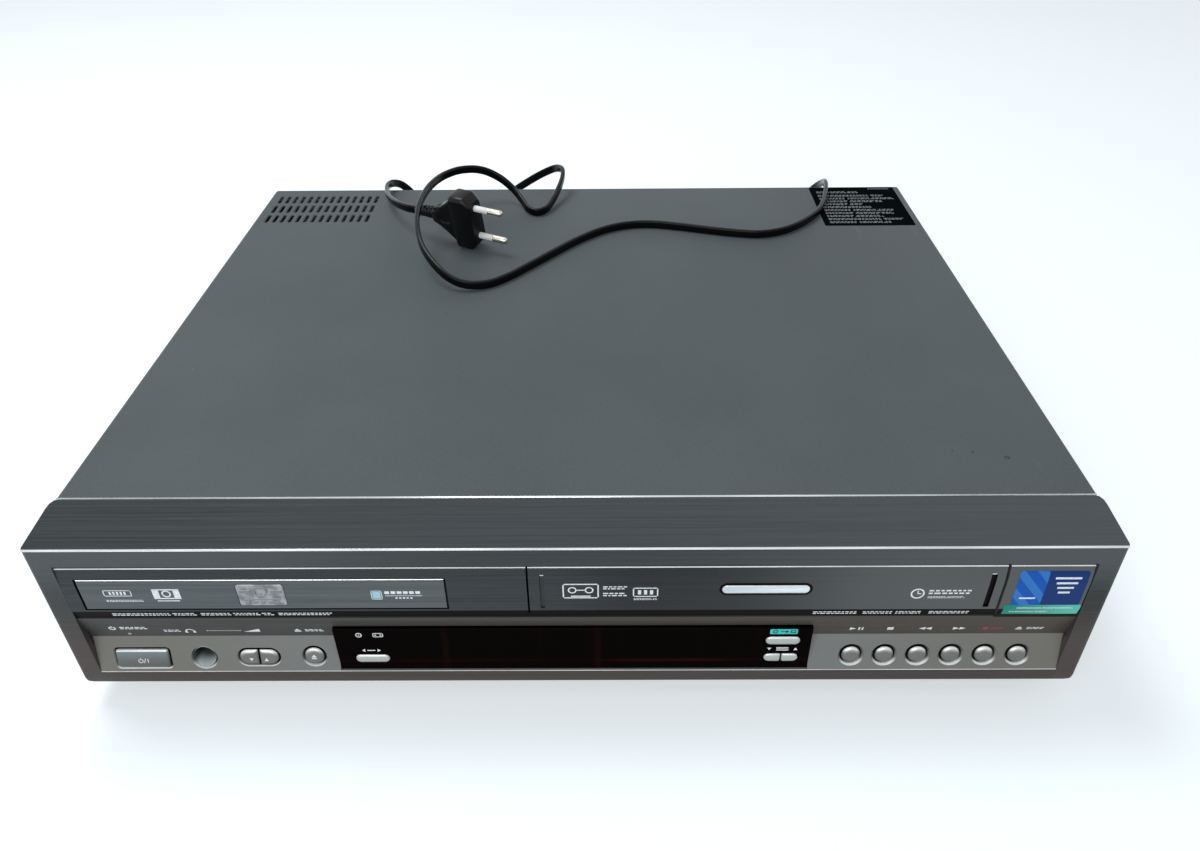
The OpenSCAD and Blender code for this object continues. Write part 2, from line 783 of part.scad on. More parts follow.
module clamp_bridge() {
    half = tray_w / 2;
    color("silver") from_disc() difference() {
        union() {
            block([-half - 3.5, -12, 62.5], [half + 3.5, 12, 63.7]);
            block([-24, -22, 62.5], [24, 22, 63.7]);
            for (s = [-1, 1]) block([s * (half + 2) - 1.5, -12, 60.5], [s * (half + 2) + 1.5, -5, 62.5]);
            for (s = [-1, 1]) block([s * (half + 2) - 1.5, 5, 60.5], [s * (half + 2) + 1.5, 12, 62.5]);
        }
        upright([0, 0], 8, 60, 66);
    }
}

clamp_z = 56.6;

module disc_clamper() {
    color("#33373a") from_disc() rotate_extrude()
        polygon([[0, clamp_z], [13, clamp_z], [15, clamp_z + 0.6], [15, clamp_z + 2.4], [7.4, clamp_z + 2.4],
                 [7.4, 66], [11.5, 66], [11.5, 67.4], [0, 67.4]]);
}

rod_x = 22;

module traverse() {
    color("#c9c6bb") from_disc() {
        difference() {
            union() {
                block([-30, -20, 37], [30, 90, 39]);
                upright([0, 0], 13, 38, 43.5);
                for (s = [-1, 1]) block([s * 30 - 1.5, 80, 36], [s * 30 + 1.5, 90, 41]);
                for (s = [-1, 1], y = [16, 76]) block([s * rod_x - 4, y - 1.5, 38], [s * rod_x + 4, y + 1.5, 45.6]);
                lying_x(86, 38.5, hinge_r, -37, -30);
                lying_x(86, 38.5, hinge_r, 30, 37);
            }
            block([-17, 20, 36], [17, 72, 40]);
            upright([0, 0], 1.55, 36, 50);
        }
        for (s = [-1, 1]) lying_y(s * rod_x, 43, 1.5, 16, 76);
    }
}

module turntable() {
    color("#2c2c2c") from_disc() {
        rotate_extrude() polygon([[0, 43.8], [14, 43.8], [14.4, 44.2], [14.4, 55.2], [7.4, 55.2], [7.2, 56],
                                  [6.4, 56.4], [0, 56.4]]);
        upright([0, 0], 1.5, 37.4, 44);
    }
}

module pickup() {
    color("#3a3f45") from_disc() difference() {
        union() {
            block([-26, 19, 40.6], [26, 35, 46.4]);
            block([-12, 18.4, 46], [12, 34, 47.6]);
            upright([0, 23.5], 4, 47, 48.6);
        }
        for (s = [-1, 1]) lying_y(s * rod_x, 43, 1.5 + run, 15, 40);
        upright([0, 23.5], 2.4, 47.9, 49);
        block([-14, 24, 40], [14, 30, 42.5]);
    }
}

module tray_gear() {
    color("#e6e2d4") translate([tray_cx - gear_at[0], gear_at[1], 0]) difference() {
        union() {
            translate([0, 0, 48.4]) linear_extrude(3.2) gear_outline(1, gear_teeth, 0.2);
            upright([0, 0], 6, loader_z + 2.3, 48.5);
            upright([0, 0], 8, 45.4, 46.4);
        }
        upright([0, 0], 2 + run, 40, 60);
    }
}

// ---- cassette deck ----

module from_slot() {
    translate([cassette_cx, 0, 0]) children();
}

guide_run = sqrt(pow(guide_out[0] - guide_in[0], 2) + pow(guide_out[1] - guide_in[1], 2));
guide_angle = atan2(guide_out[1] - guide_in[1], guide_out[0] - guide_in[0]);

module guide_slot(s) {
    mirror([s < 0 ? 1 : 0, 0, 0]) translate([guide_in[0], guide_in[1], deck_z - 1]) rotate(guide_angle) {
        translate([0, -2.5, 0]) cube([guide_run, 5, 4]);
        for (x = [0, guide_run]) translate([x, 0, 0]) cylinder(r = 2.5, h = 4);
    }
}

module deck_plate() {
    color("silver") from_slot() difference() {
        union() {
            block([-103.6, 60, deck_z], [103.6, 258, deck_top]);
            for (s = [-1, 1]) upright([s * reel_x, reel_y], 1.5, deck_z, 33);
            upright(capstan_at, 5, 9.5, 22);
            upright(pinch_pivot, 2, deck_z, 30);
            for (s = [-1, 1]) block([s * (side_x + 0.6) - 0.6, 60, deck_z], [s * (side_x + 0.6) + 0.6, 64, 20]);
        }
        for (s = [-1, 1]) guide_slot(s);
        upright(capstan_at, 2 + run, 0, 40);
        for (p = deck_posts) upright([p[0] - cassette_cx, p[1]], 1.5, 10, 20);
        block([-60, 80, deck_z - 1], [-20, 100, deck_top + 1]);
        block([10, 140, deck_z - 1], [40, 150, deck_top + 1]);
    }
}

module slot_yz(y0, y1, z0, z1, r, x0, x1) {
    along_x(x0, x1) {
        translate([y0 - (y1 > y0 ? 0 : r), z0 - (z1 > z0 ? 0 : r)])
            square([y1 > y0 ? y1 - y0 : 2 * r, z1 > z0 ? z1 - z0 : 2 * r]);
        for (p = [[y0, z0], [y1, z1]]) translate(p) circle(r);
    }
}

module carriage_sides() {
    color("#b8bcbf") from_slot() {
        for (s = [-1, 1]) difference() {
            block([s * (side_x + 0.6) - 0.6, 64, deck_top], [s * (side_x + 0.6) + 0.6, 190, 74]);
            for (z = [30, 66]) slot_yz(72, 160, z, z, 1.6, s * side_x - 3, s * side_x + 3);
            block([s * side_x - 3, 100, 38], [s * side_x + 3, 150, 58]);
        }
        for (s = [-1, 1]) block([s * (side_x + 0.6) - 0.6, 36, 60], [s * (side_x + 0.6) + 0.6, 64, 74]);
        // a bridge ties the two sides behind the basket
        block([-side_x - 1.2, 186, 73], [side_x + 1.2, 190, 75]);
    }
}

slide_y = [68, 112];

module basket_slides() {
    x = basket_w / 2 + basket_side + 0.5;
    color("#ece7da") from_slot() for (s = [-1, 1]) {
        difference() {
            block([s * (x + slide_t / 2) - slide_t / 2, slide_y[0], 26], [s * (x + slide_t / 2) + slide_t / 2, slide_y[1], 70]);
            for (y = [78, 102]) slot_yz(y, y, 41, 57.1, 1.6, s * x - 5, s * x + 5);
        }
        for (y = [74, 106], z = [30, 66])
            lying_x(y, z, 1.5, s > 0 ? x + slide_t - 0.5 : -side_x - 1.1, s > 0 ? side_x + 1.1 : -x - slide_t + 0.5);
    }
}

module cassette_basket() {
    half = basket_w / 2;
    color("#c4c8ca") from_slot() {
        for (s = [-1, 1]) {
            block([s * (half + basket_side / 2) - basket_side / 2, basket_y[0], basket_z[0]],
                  [s * (half + basket_side / 2) + basket_side / 2, basket_y[1], basket_z[1]]);
            block([s * (half - 6) - 6.1, basket_y[0], basket_z[0]], [s * (half - 6) + 6.1, basket_y[1], basket_z[0] + 1.2]);
            for (y = [78, 102]) lying_x(y, 57, 1.5, s > 0 ? half + 0.5 : -half - basket_side - slide_t,
                                        s > 0 ? half + basket_side + slide_t : -half - 0.5);
        }
        difference() {
            block([-half - basket_side, basket_y[0], basket_z[1] - 1.2], [half + basket_side, basket_y[1], basket_z[1]]);
            for (s = [-1, 1]) block([s * 45 - 20, 60, basket_z[1] - 3], [s * 45 + 20, 110, basket_z[1] + 1]);
        }
        for (s = [-1, 1]) block([s * 45 - 3, 59, basket_z[1] - 1.2], [s * 45 + 3, 100, basket_z[1] - 0.7]);
    }
}

module on_drum() {
    from_slot() translate([0, drum_y, drum_z]) rotate([-drum_lean, 0, 0]) children();
}

module lower_drum() {
    color("#aab0b4") {
        on_drum() difference() {
            union() {
                cylinder(d = drum_d, h = 19.5);
                cylinder(r = 6, h = 19.6);
            }
            translate([0, 0, -5]) cylinder(r = 2 + run, h = 40);
            translate([0, 0, 14]) difference() {
                cylinder(r = drum_d / 2 - 2, h = 10);
                cylinder(r = 8, h = 10);
            }
        }
        from_slot() for (a = [30, 150, 270])
            upright([24 * cos(a), drum_y + 24 * sin(a)], 3.5, deck_top, drum_z + 4);
    }
}

module upper_drum() {
    color("#c3c9cc") on_drum() difference() {
        union() {
            translate([0, 0, 19.9]) cylinder(d = drum_d, h = 16.5);
            translate([0, 0, 36]) cylinder(r = 14, h = 3);
            translate([0, 0, 1]) cylinder(r = 2, h = 19);
        }
        for (a = [0, 180]) rotate(a) translate([drum_d / 2 - 3, -2.5, 19]) cube([4, 5, 3]);
        translate([0, 0, 30]) difference() {
            cylinder(r = drum_d / 2 - 5, h = 10);
            cylinder(r = 17, h = 10);
        }
    }
}

module capstan() {
    color("#d0d4d6") from_slot() {
        upright(capstan_at, 2, 3, 46);
        difference() {
            upright(capstan_at, 28, 3.5, 9);
            for (a = [0:60:300]) upright(capstan_at + 19 * [cos(a), sin(a)], 5, 3, 10);
        }
    }
}

function pinch_at(a) = pinch_pivot + pinch_arm_l * [cos(a), sin(a)];

module pinch_arm() {
    color("#b0b4b6") from_slot() {
        difference() {
            union() {
                upright(pinch_pivot, 4.5, deck_top + 0.2, 29);
                translate([pinch_pivot[0], pinch_pivot[1], 24]) rotate(pinch_rest_a)
                    translate([3, -2.5, 0]) cube([pinch_arm_l - 3, 5, 2]);
                upright(pinch_at(pinch_rest_a), 3.5, 23.5, 26.5);
            }
            upright(pinch_pivot, 2 + run, 0, 40);
        }
        upright(pinch_at(pinch_rest_a), 1.5, 25, 47);
    }
}

module pinch_roller() {
    color("#1e1e1e") from_slot() difference() {
        upright(pinch_at(pinch_rest_a), 6.5, 31, 45);
        upright(pinch_at(pinch_rest_a), 1.5 + run, 30, 46);
    }
}

module reel(s) {
    color("#efeadd") from_slot() translate([s * reel_x, reel_y, 0]) difference() {
        union() {
            translate([0, 0, 15]) linear_extrude(3) gear_outline(0.75, 48, 0.1);
            upright([0, 0], 14, 18, 22);
            upright([0, 0], 5, 22, 33);
            for (a = [0, 120, 240]) rotate(a) translate([0, -0.8, 22]) cube([7, 1.6, 11]);
        }
        upright([0, 0], 1.5 + run, 10, 40);
    }
}

module supply_reel() {
    reel(-1);
}

module take_up_reel() {
    reel(1);
}

module tape_guide(s) {
    color("#c8ccd0") from_slot() mirror([s < 0 ? 1 : 0, 0, 0]) {
        upright(guide_in, 2.4, deck_z - 0.5, deck_top + 0.5);
        upright(guide_in, 6, deck_top + 0.3, 19);
        upright(guide_in, 1.5, 19, 49);
        upright(guide_in, 3.8, 31, 46);
        upright(guide_in, 2.8, 47, 49);
        translate([guide_in[0] - 3, guide_in[1] - 1, 18.5]) rotate([0, -8, 0]) cylinder(r = 1, h = 28);
    }
}

module supply_guide() {
    tape_guide(-1);
}

module take_up_guide() {
    tape_guide(1);
}

module tape_heads() {
    color("#9da3a8") from_slot() {
        block([-61, 188, deck_top], [-51, 204, 16]);
        block([-60, 191, 16], [-52, 201, 46]);
        block([46, 199, deck_top], [53, 213, 16]);
        block([46.5, 201, 16], [52.5, 211, 46]);
    }
}

module small_motors() {
    color("#8f9598") {
        // tray motor under the loader's front, loading motor and its worm box beside the drum
        lying_y(tray_cx - 8, 34, 7, 32, 52);
        block([tray_cx - 12, 35, 40.5], [tray_cx - 4, 50, loader_z]);
        from_slot() {
            lying_x(246, 26, 9, -84, -54);
            block([-93.4, 237, deck_top], [-83, 255, 30]);
            block([-70, 242, deck_top], [-62, 250, 18]);
        }
    }
}

// ---- boards and rear sockets ----

module main_board() {
    color("#2f6b3a") difference() {
        union() {
            block([-205, 50, board_z], [-34, 345, board_z + board_t]);
            for (p = [[-150, 120, 28, 28, 3], [-95, 130, 22, 22, 2.5], [-150, 190, 30, 20, 3],
                      [-80, 200, 24, 24, 3], [-170, 250, 16, 10, 4], [-110, 255, 30, 12, 4]])
                translate([p[0], p[1], board_z + board_t - 0.1]) cube([p[2], p[3], p[4]]);
            for (i = [0:7]) upright([-190 + i * 17, 285], 5, board_z + board_t - 0.1, board_z + 13);
            for (i = [0:5]) upright([-62, 90 + i * 16], 4, board_z + board_t - 0.1, board_z + 12);
            block([-185, 52, board_z + board_t - 0.1], [-125, 58, board_z + 9]);
        }
        for (p = main_board_posts) upright(p, 1.5, board_z - 1, board_z + 3);
        for (p = loader_posts) upright(p, 3.4, board_z - 1, board_z + 3);
    }
}

module power_supply() {
    color("#c9a45a") difference() {
        union() {
            block([-10, 268, board_z], [205, 346, board_z + board_t]);
            block([90, 285, board_z + 1], [130, 322, board_z + 34]);
            block([84, 290, board_z + 5], [136, 317, board_z + 29]);
            upright([158, 290], 12.5, board_z + 1, board_z + 38);
            for (i = [0:2]) upright([16 + i * 14, 284], 5, board_z + 1, board_z + 18);
            block([60, 275, board_z + 1], [63, 335, board_z + 34]);
            for (i = [0:6]) block([63, 280 + i * 8, board_z + 4], [72, 281.5 + i * 8, board_z + 34]);
            block([176, 290, board_z + 1], [192, 306, board_z + 20]);
        }
        for (p = supply_posts) upright(p, 1.5, board_z - 1, board_z + 3);
        block([8, 342, board_z - 1], [56, 350, board_z + 3]);
    }
}

module scart_socket(x) {
    difference() {
        union() {
            block([x - 23.8, 338, scart_z - 10], [x + 23.8, 353.4, scart_z + 7.8]);
            block([x - 22.5, 353, scart_z - 6.5], [x + 22.5, 357.6, scart_z + 6.5]);
        }
        block([x - 21, 344, scart_z - 4.5], [x + 21, 359, scart_z + 4.5]);
    }
    difference() {
        block([x - 18, 342, scart_z - 1.8], [x + 18, 356.4, scart_z + 1.8]);
        block([x - 17, 346, scart_z - 1], [x + 17, 358, scart_z + 1]);
    }
}

// a rear phono socket: the same shell, its mouth looking back
module rear_phono(x, z) {
    mirror([0, 1, 0]) translate([0, -case_d, 0]) phono_shell(x, z, 0, 9.2);
}

module av_sockets() {
    color("#1c1c1c") {
        for (x = scart_x) scart_socket(x);
        block([phono_x[0] - 8, 346, 11], [phono_x[2] + 8, 351.3, 40]);
        for (x = phono_x, z = phono_z) rear_phono(x, z);
    }
}

module tuner() {
    color("#b9bdbf") {
        block([8.5, 300, 11], [55.5, 352.6, 40]);
        for (x = aerial_x) difference() {
            union() {
                lying_y(x, aerial_z, 4.75, case_d - socket_out, case_d);
                lying_y(x, aerial_z, 4.5, 352, case_d - socket_out);
            }
            lying_y(x, aerial_z, 3.6, 353, case_d + 1);
        }
        for (x = aerial_x) lying_y(x, aerial_z, 1.1, 352.5, 358);
    }
}

// ---- mains cord ----

module cord_gland() {
    color("#141414") translate([gland_at[0], 0, gland_at[1]]) {
        block([-4.9, panel_y, -4.9], [4.9, panel_y + sheet, 4.9]);
        block([-6.5, panel_y - 3, -6.5], [6.5, panel_y, 6.5]);
        block([-6.5, panel_y + sheet, -6.5], [6.5, panel_y + sheet + 2, 6.5]);
        translate([0, panel_y + sheet + 2, 0]) rotate([-90, 0, 0]) cylinder(r1 = 4.8, r2 = 3.2, h = 373 - panel_y - sheet - 2);
    }
}

function unit(v) = v / norm(v);
function heading(p, i) = unit(p[min(i + 1, len(p) - 1)] - p[max(i - 1, 0)]);
function side_first(t) = unit(cross(t, [0.1, 0.2, 1]));
// carries the first ring's side along the route without twist
function carried(p, i) =
    i == 0 ? side_first(heading(p, 0)) :
    let (before = carried(p, i - 1), t = heading(p, i)) unit(before - (before * t) * t);
function ring(p, i, r, n) =
    let (t = heading(p, i), a = carried(p, i), b = cross(t, a))
    [for (k = [0:n - 1]) p[i] + r * (cos(k * 360 / n) * a + sin(k * 360 / n) * b)];

module swept(p, r, n) {
    last = len(p) - 1;
    polyhedron(
        points = [for (i = [0:last], q = ring(p, i, r, n)) q],
        faces = concat(
            [[for (k = [n - 1:-1:0]) k]],
            [for (i = [0:last - 1], k = [0:n - 1]) each
                [[i * n + k, i * n + (k + 1) % n, (i + 1) * n + k],
                 [i * n + (k + 1) % n, (i + 1) * n + (k + 1) % n, (i + 1) * n + k]]],
            [[for (k = [0:n - 1]) last * n + k]]));
}

module mains_cord() {
    color("#151515") swept(cord_lead, cord_d / 2, 8);
}

module mains_cord_end() {
    color("#151515") swept(cord_tail, cord_d / 2, 8);
}

module mains_cord_coil() {
    color("#151515") translate([coil_at[0], coil_at[1], -foot_h]) difference() {
        cylinder(r = coil_r + coil_w / 2, h = coil_h);
        translate([0, 0, -1]) cylinder(r = coil_r - coil_w / 2, h = coil_h + 2);
    }
}

module mains_plug() {
    color("#151515") translate([plug_at[0], plug_at[1], cover_h + 18.6]) rotate([plug_lean, 0, plug_turn]) {
        // flat head standing on its narrow edge, pins one over the other, and a thinner grip behind it
        translate([0, plug_t / 2, 0]) rotate([90, 0, 0]) linear_extrude(plug_t)
            polygon([[-9.2, -16.8], [-8, -plug_h / 2], [1.5, -plug_h / 2], [5.2, 4 - plug_h / 2],
                     [5.2, plug_h / 2 - 4], [1.5, plug_h / 2], [-8, plug_h / 2], [-9.2, 16.8]]);
        translate([0, 5, 0]) rotate([90, 0, 0]) linear_extrude(10)
            polygon([[-25, -4.6], [-16, -9], [-9, -15.2], [-9, 15.2], [-16, 9], [-25, 4.6]]);
        for (z = [-1, 1]) translate([5, 0, z * pin_gap / 2]) rotate([0, 90, 0]) cylinder(r = 2, h = 19.2);
        translate([-41, 1.3, -2.2]) rotate([0, 83.7, -3.7]) cylinder(r1 = 3, r2 = 4.3, h = 20.2);
    }
}

place() top_cover();
place() bottom_chassis();
place() rear_panel();
place() front_fascia();
place() feet();
place() fasteners();
place() dvd_panel();
place() tray_door();
place() cassette_door();
place() av_door();
place() display_window();
place() power_button();
place() level_down_button();
place() level_up_button();
place() open_close_button();
place() select_button();
place() copy_button();
place() program_down_button();
place() program_up_button();
place() play_button();
place() stop_button();
place() rewind_button();
place() forward_button();
place() record_button();
place() eject_button();
place() phones_jack();
place() av_jacks();
place() front_board();
place() disc_tray();
place() loader_frame();
place() clamp_bridge();
place() disc_clamper();
place() traverse();
place() turntable();
place() pickup();
place() tray_gear();
place() deck_plate();
place() carriage_sides();
place() basket_slides();
place() cassette_basket();
place() lower_drum();
place() upper_drum();
place() capstan();
place() pinch_arm();
place() pinch_roller();
place() supply_reel();
place() take_up_reel();
place() supply_guide();
place() take_up_guide();
place() tape_heads();
place() small_motors();
place() main_board();
place() power_supply();
place() av_sockets();
place() tuner();
place() cord_gland();
place() mains_cord();
place() mains_cord_end();
place() mains_cord_coil();
place() mains_plug();
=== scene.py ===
from math import cos, hypot, pi, radians, sin

import bmesh
import bpy
from mathutils import Matrix, Vector


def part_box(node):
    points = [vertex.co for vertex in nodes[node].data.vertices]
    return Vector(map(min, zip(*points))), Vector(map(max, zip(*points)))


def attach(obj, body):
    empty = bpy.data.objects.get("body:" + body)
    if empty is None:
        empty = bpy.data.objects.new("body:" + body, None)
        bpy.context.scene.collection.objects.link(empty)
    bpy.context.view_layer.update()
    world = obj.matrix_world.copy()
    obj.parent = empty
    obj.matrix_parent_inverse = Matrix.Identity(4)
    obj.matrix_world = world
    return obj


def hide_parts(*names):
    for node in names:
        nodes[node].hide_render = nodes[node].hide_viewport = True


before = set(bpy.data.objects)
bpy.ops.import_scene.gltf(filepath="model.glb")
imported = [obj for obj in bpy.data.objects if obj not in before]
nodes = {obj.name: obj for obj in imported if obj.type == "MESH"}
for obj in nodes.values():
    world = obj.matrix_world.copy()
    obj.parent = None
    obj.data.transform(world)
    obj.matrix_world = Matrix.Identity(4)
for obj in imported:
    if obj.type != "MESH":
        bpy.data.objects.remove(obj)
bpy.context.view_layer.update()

# ---- camera, light and stage ----
# A plain table top in a bright room: one broad lamp over the set, a weaker one in front, and a camera
# held over the front edge, looking down.
mm = 0.001
camera_at = Vector((13.39, -447.04, 345.19)) * mm
camera_down, camera_left, camera_lean = radians(36.185), radians(0.505), radians(0.567)
camera_lens = 28.32

camera = bpy.data.objects.new("camera", bpy.data.cameras.new("camera"))
ahead = Vector((-sin(camera_left) * cos(camera_down), cos(camera_left) * cos(camera_down), -sin(camera_down)))
right = Vector((cos(camera_left), sin(camera_left), 0))
above = right.cross(ahead)
across = cos(camera_lean) * right - sin(camera_lean) * above
upward = sin(camera_lean) * right + cos(camera_lean) * above
camera.matrix_world = Matrix.Translation(camera_at) @ Matrix((across, upward, -ahead)).transposed().to_4x4()
camera.data.lens = camera_lens
camera.data.clip_start = 0.01
bpy.context.scene.collection.objects.link(camera)
bpy.context.scene.camera = camera
bpy.context.scene.view_settings.view_transform = "Standard"


def lamp(name, at, aim, width, height, watts, tint):
    light = bpy.data.lights.new(name, "AREA")
    light.shape = "RECTANGLE"
    light.size = width
    light.size_y = height
    light.energy = watts
    light.color = tint
    holder = bpy.data.objects.new(name, light)
    holder.location = at
    holder.rotation_euler = (Vector(aim) - Vector(at)).to_track_quat("-Z", "Y").to_euler()
    bpy.context.scene.collection.objects.link(holder)


lamp("ceiling", (-0.6, 0.4, 1.6), (0.05, 0, 0.05), 0.8, 0.7, 14, (0.98, 0.99, 1.0))
lamp("window", (-0.5, -1.7, 1.1), (0, -0.1, 0.05), 1.8, 1.0, 19, (1.0, 0.985, 0.96))


class Flow:
    """A value, colour or vector in a material. Arithmetic on it adds the nodes."""

    def __init__(self, socket):
        self.socket = socket

    def node(self, kind, settings=(), inputs=(), output=0):
        tree = self.socket.id_data
        made = tree.nodes.new("ShaderNode" + kind)
        for name, value in dict(settings).items():
            setattr(made, name, value)
        for name, value in dict(inputs).items():
            if isinstance(value, Flow):
                tree.links.new(value.socket, made.inputs[name])
            else:
                made.inputs[name].default_value = value
        return Flow(made.outputs[output])

    def math(self, operation, *terms):
        return self.node("Math", {"operation": operation}, enumerate(terms))

    def __add__(self, other):
        return self.math("ADD", self, other)

    def __radd__(self, other):
        return self.math("ADD", other, self)

    def __sub__(self, other):
        return self.math("SUBTRACT", self, other)

    def __rsub__(self, other):
        return self.math("SUBTRACT", other, self)

    def __mul__(self, other):
        return self.math("MULTIPLY", self, other)

    def __rmul__(self, other):
        return self.math("MULTIPLY", other, self)

    def axis(self, letter):
        return self.node("SeparateXYZ", {}, {"Vector": self}, letter)

    def stretched(self, x, y, z):
        return self.node("VectorMath", {"operation": "MULTIPLY"}, {0: self, 1: (x, y, z)})

    def noise(self, scale, detail=3.0, rough=0.55):
        inputs = {"Vector": self, "Scale": scale, "Detail": detail, "Roughness": rough}
        return self.node("TexNoise", {}, inputs)

    def cells(self, scale, output="Distance"):
        return self.node("TexVoronoi", {}, {"Vector": self, "Scale": scale}, output)

    def rise(self, low, high):
        """0 below low, 1 above high, smooth between."""
        settings = {"interpolation_type": "SMOOTHSTEP"}
        return self.node("MapRange", settings, {"Value": self, "From Min": low, "From Max": high})

    def blend(self, under, over):
        """The colour under where this mask is 0, over where it is 1."""
        return self.node("Mix", {"data_type": "RGBA"}, {0: self, 6: under, 7: over}, 2)


def srgb(*channels):
    """A colour as linear light, from its screen values of 0 to 255."""
    return [((c / 255 + 0.055) / 1.055) ** 2.4 if c > 10 else c / 255 / 12.92 for c in channels] + [1.0]


class Finish:
    """A material with its shader, and the place on the piece that its pattern starts from."""

    def __init__(self, name, colour, roughness=0.5, metallic=0.0, coat=0.0, specular=0.5):
        self.material = bpy.data.materials.new(name)
        self.material.use_nodes = True
        self.tree = self.material.node_tree
        self.shader = self.tree.nodes["Principled BSDF"]
        self.where = Flow(self.tree.nodes.new("ShaderNodeTexCoord").outputs["Object"])
        self.material.diffuse_color = colour
        settings = {"Base Color": colour, "Roughness": roughness, "Metallic": metallic, "Coat Weight": coat,
                    "Specular IOR Level": specular}
        for name, value in settings.items():
            self.shader.inputs[name].default_value = value

    def set(self, name, flow):
        self.tree.links.new(flow.socket, self.shader.inputs[name])

    def tones(self, scale, dark, light):
        """Colour that drifts between two tones, in patches of about 1 / scale metres."""
        self.set("Base Color", self.where.noise(scale).blend(dark, light))

    def gloss(self, scale, reach, low):
        """Roughness that drifts from low upward, by reach at the most."""
        self.set("Roughness", self.where.noise(scale) * reach + low)

    def upward(self):
        """How far the surface faces up: 1 on a level top, -1 on an underside."""
        return Flow(self.tree.nodes.new("ShaderNodeTexCoord").outputs["Normal"]).axis("Z")

    def painted_light_by_facing(self, down, level, up):
        """Painted highlight and shade: a polished part's colour by how far its surface faces down or up."""
        rise = self.upward()
        return rise.rise(0.28, 0.8).blend(rise.rise(-0.55, 0.05).blend(down, level), up)

    def bump(self, height, depth, strength=1.0):
        inputs = {"Height": height, "Distance": depth, "Strength": strength}
        self.set("Normal", height.node("Bump", {}, inputs))


stage_white = Finish("table_white", (0.855, 0.945, 1.0, 1), 0.9, specular=0.1)


def background_rays(tree):
    """1 on the rays that show a background: to the camera, off gloss and through glass."""
    path = tree.nodes.new("ShaderNodeLightPath")
    kinds = ("Camera", "Glossy", "Transmission")
    seen, gloss, through = (Flow(path.outputs[f"Is {kind} Ray"]) for kind in kinds)
    return seen.math("MAXIMUM", seen.math("MAXIMUM", seen, gloss), through)


# The table glows a little where it is a background, and the room lights less than it shows.
glow_share, glow_strength = 0.2, 2.2
room_lights, room_shows_more = 0.38, 0.62

seen = background_rays(stage_white.tree)
far = stage_white.where.axis("Y").rise(-0.45, 0.0).blend((0.9, 0.97, 1, 1), (1, 1, 1, 1))
glow = seen.node("Emission", {}, {"Color": far, "Strength": glow_strength})
lit = Flow(stage_white.shader.outputs["BSDF"])
table_mix = seen.node("MixShader", {}, {0: seen * glow_share, 1: lit, 2: glow})
stage_white.tree.links.new(table_mix.socket, stage_white.tree.nodes["Material Output"].inputs["Surface"])

table_half = 6.0
table_mesh = bpy.data.meshes.new("table")
table_mesh.from_pydata([(x * table_half, y * table_half, 0) for x, y in ((-1, -1), (1, -1), (1, 1), (-1, 1))],
                       [], [(0, 1, 2, 3)])
table_mesh.materials.append(stage_white.material)
table = bpy.data.objects.new("table", table_mesh)
bpy.context.scene.collection.objects.link(table)

room = bpy.data.worlds.new("room")
room.use_nodes = True
bpy.context.scene.world = room
shown = background_rays(room.node_tree)
tint = shown.blend((0.80, 0.86, 0.92, 1), (1.0, 1.0, 1.0, 1))
sky = room.node_tree.nodes["Background"]
room.node_tree.links.new(tint.socket, sky.inputs["Color"])
strength = shown * room_shows_more + room_lights
room.node_tree.links.new(strength.socket, sky.inputs["Strength"])

# ---- mains cord ----
# Flat two-core flex in black vinyl, moulded on to its plug and held in the rear panel by a gland. It
# comes over the back of the cover, loops round its plug, and its spare length is tied in a coil.
front_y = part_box("front_fascia")[0].y
under_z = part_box("front_fascia")[0].z


def spot(x, y, z):
    """A place in millimetres: x from the middle, y back from the front face, z up from the underside."""
    return Vector((x * mm, front_y + y * mm, under_z + z * mm))


cord_lead = [
    (152, 373, 33), (152, 384, 34.5), (152.8, 391.5, 40), (155, 394.5, 48.5), (158.6, 392.5, 57.5),
    (162.4, 387, 66), (165, 379.5, 73), (165.8, 371.5, 78), (165.6, 363.5, 81.7), (164.7, 355.5, 83.6),
    (163, 346, 84), (159.6, 333, 83.9), (155.3, 319, 83.9), (149, 306, 83.9),
    (138, 292, 83.9), (125, 281, 83.9), (110, 275.5, 83.9), (95, 277, 83.9), (78, 281.5, 83.9),
    (60, 287, 83.9), (42, 291, 83.9), (26, 289.5, 83.9), (11, 282, 83.9), (-4, 268, 83.9),
    (-18, 251, 83.9), (-31, 234.5, 83.9), (-43, 220, 83.9), (-54, 211, 84), (-66, 208.5, 85.2),
    (-76, 211.5, 88.5), (-85, 220, 93), (-92.5, 232, 98), (-97, 248, 102.5), (-99, 266, 105.5),
    (-98.5, 284, 106.6), (-96, 301, 106.8), (-90.5, 317, 106.4), (-81, 329.5, 105.4),
    (-69, 336, 102.8), (-57.5, 336, 97.6), (-48, 330.5, 91.8), (-41.5, 322, 87.2), (-37.2, 314.4, 84.6),
    (-31.4, 310.6, 83.9), (-25.6, 314.6, 84.3), (-22, 323, 85.8), (-18.8, 333, 88.6), (-16, 344, 92.3),
    (-15.8, 354.5, 94.8),
    (-21, 365, 92.5), (-31, 370.5, 86.5), (-42, 374, 79), (-53, 379, 70), (-62, 385, 59),
    (-68.5, 391, 46), (-72, 396, 32), (-73.5, 400, 18), (-76, 403, 5), (-80, 407, -4), (-87, 409.5, -7.6)]
cord_tail = [
    (-101, 409.5, -7.6), (-109, 405, -4), (-113.5, 398, 5), (-115.5, 390, 18), (-116, 383, 32),
    (-116.5, 377, 47), (-118.5, 371.5, 62), (-123, 367, 74), (-129, 363.5, 82), (-133.5, 357, 85.6),
    (-135, 348, 87), (-133, 335, 88.3), (-129.3, 323, 90.2), (-125, 312, 92.2), (-120, 302, 94.3),
    (-115, 294, 96), (-109.6, 287.6, 97.1), (-103.2, 283.2, 97.9)]
coil_at = (-94, 438)
coil_r, coil_turns = 28.5, 4
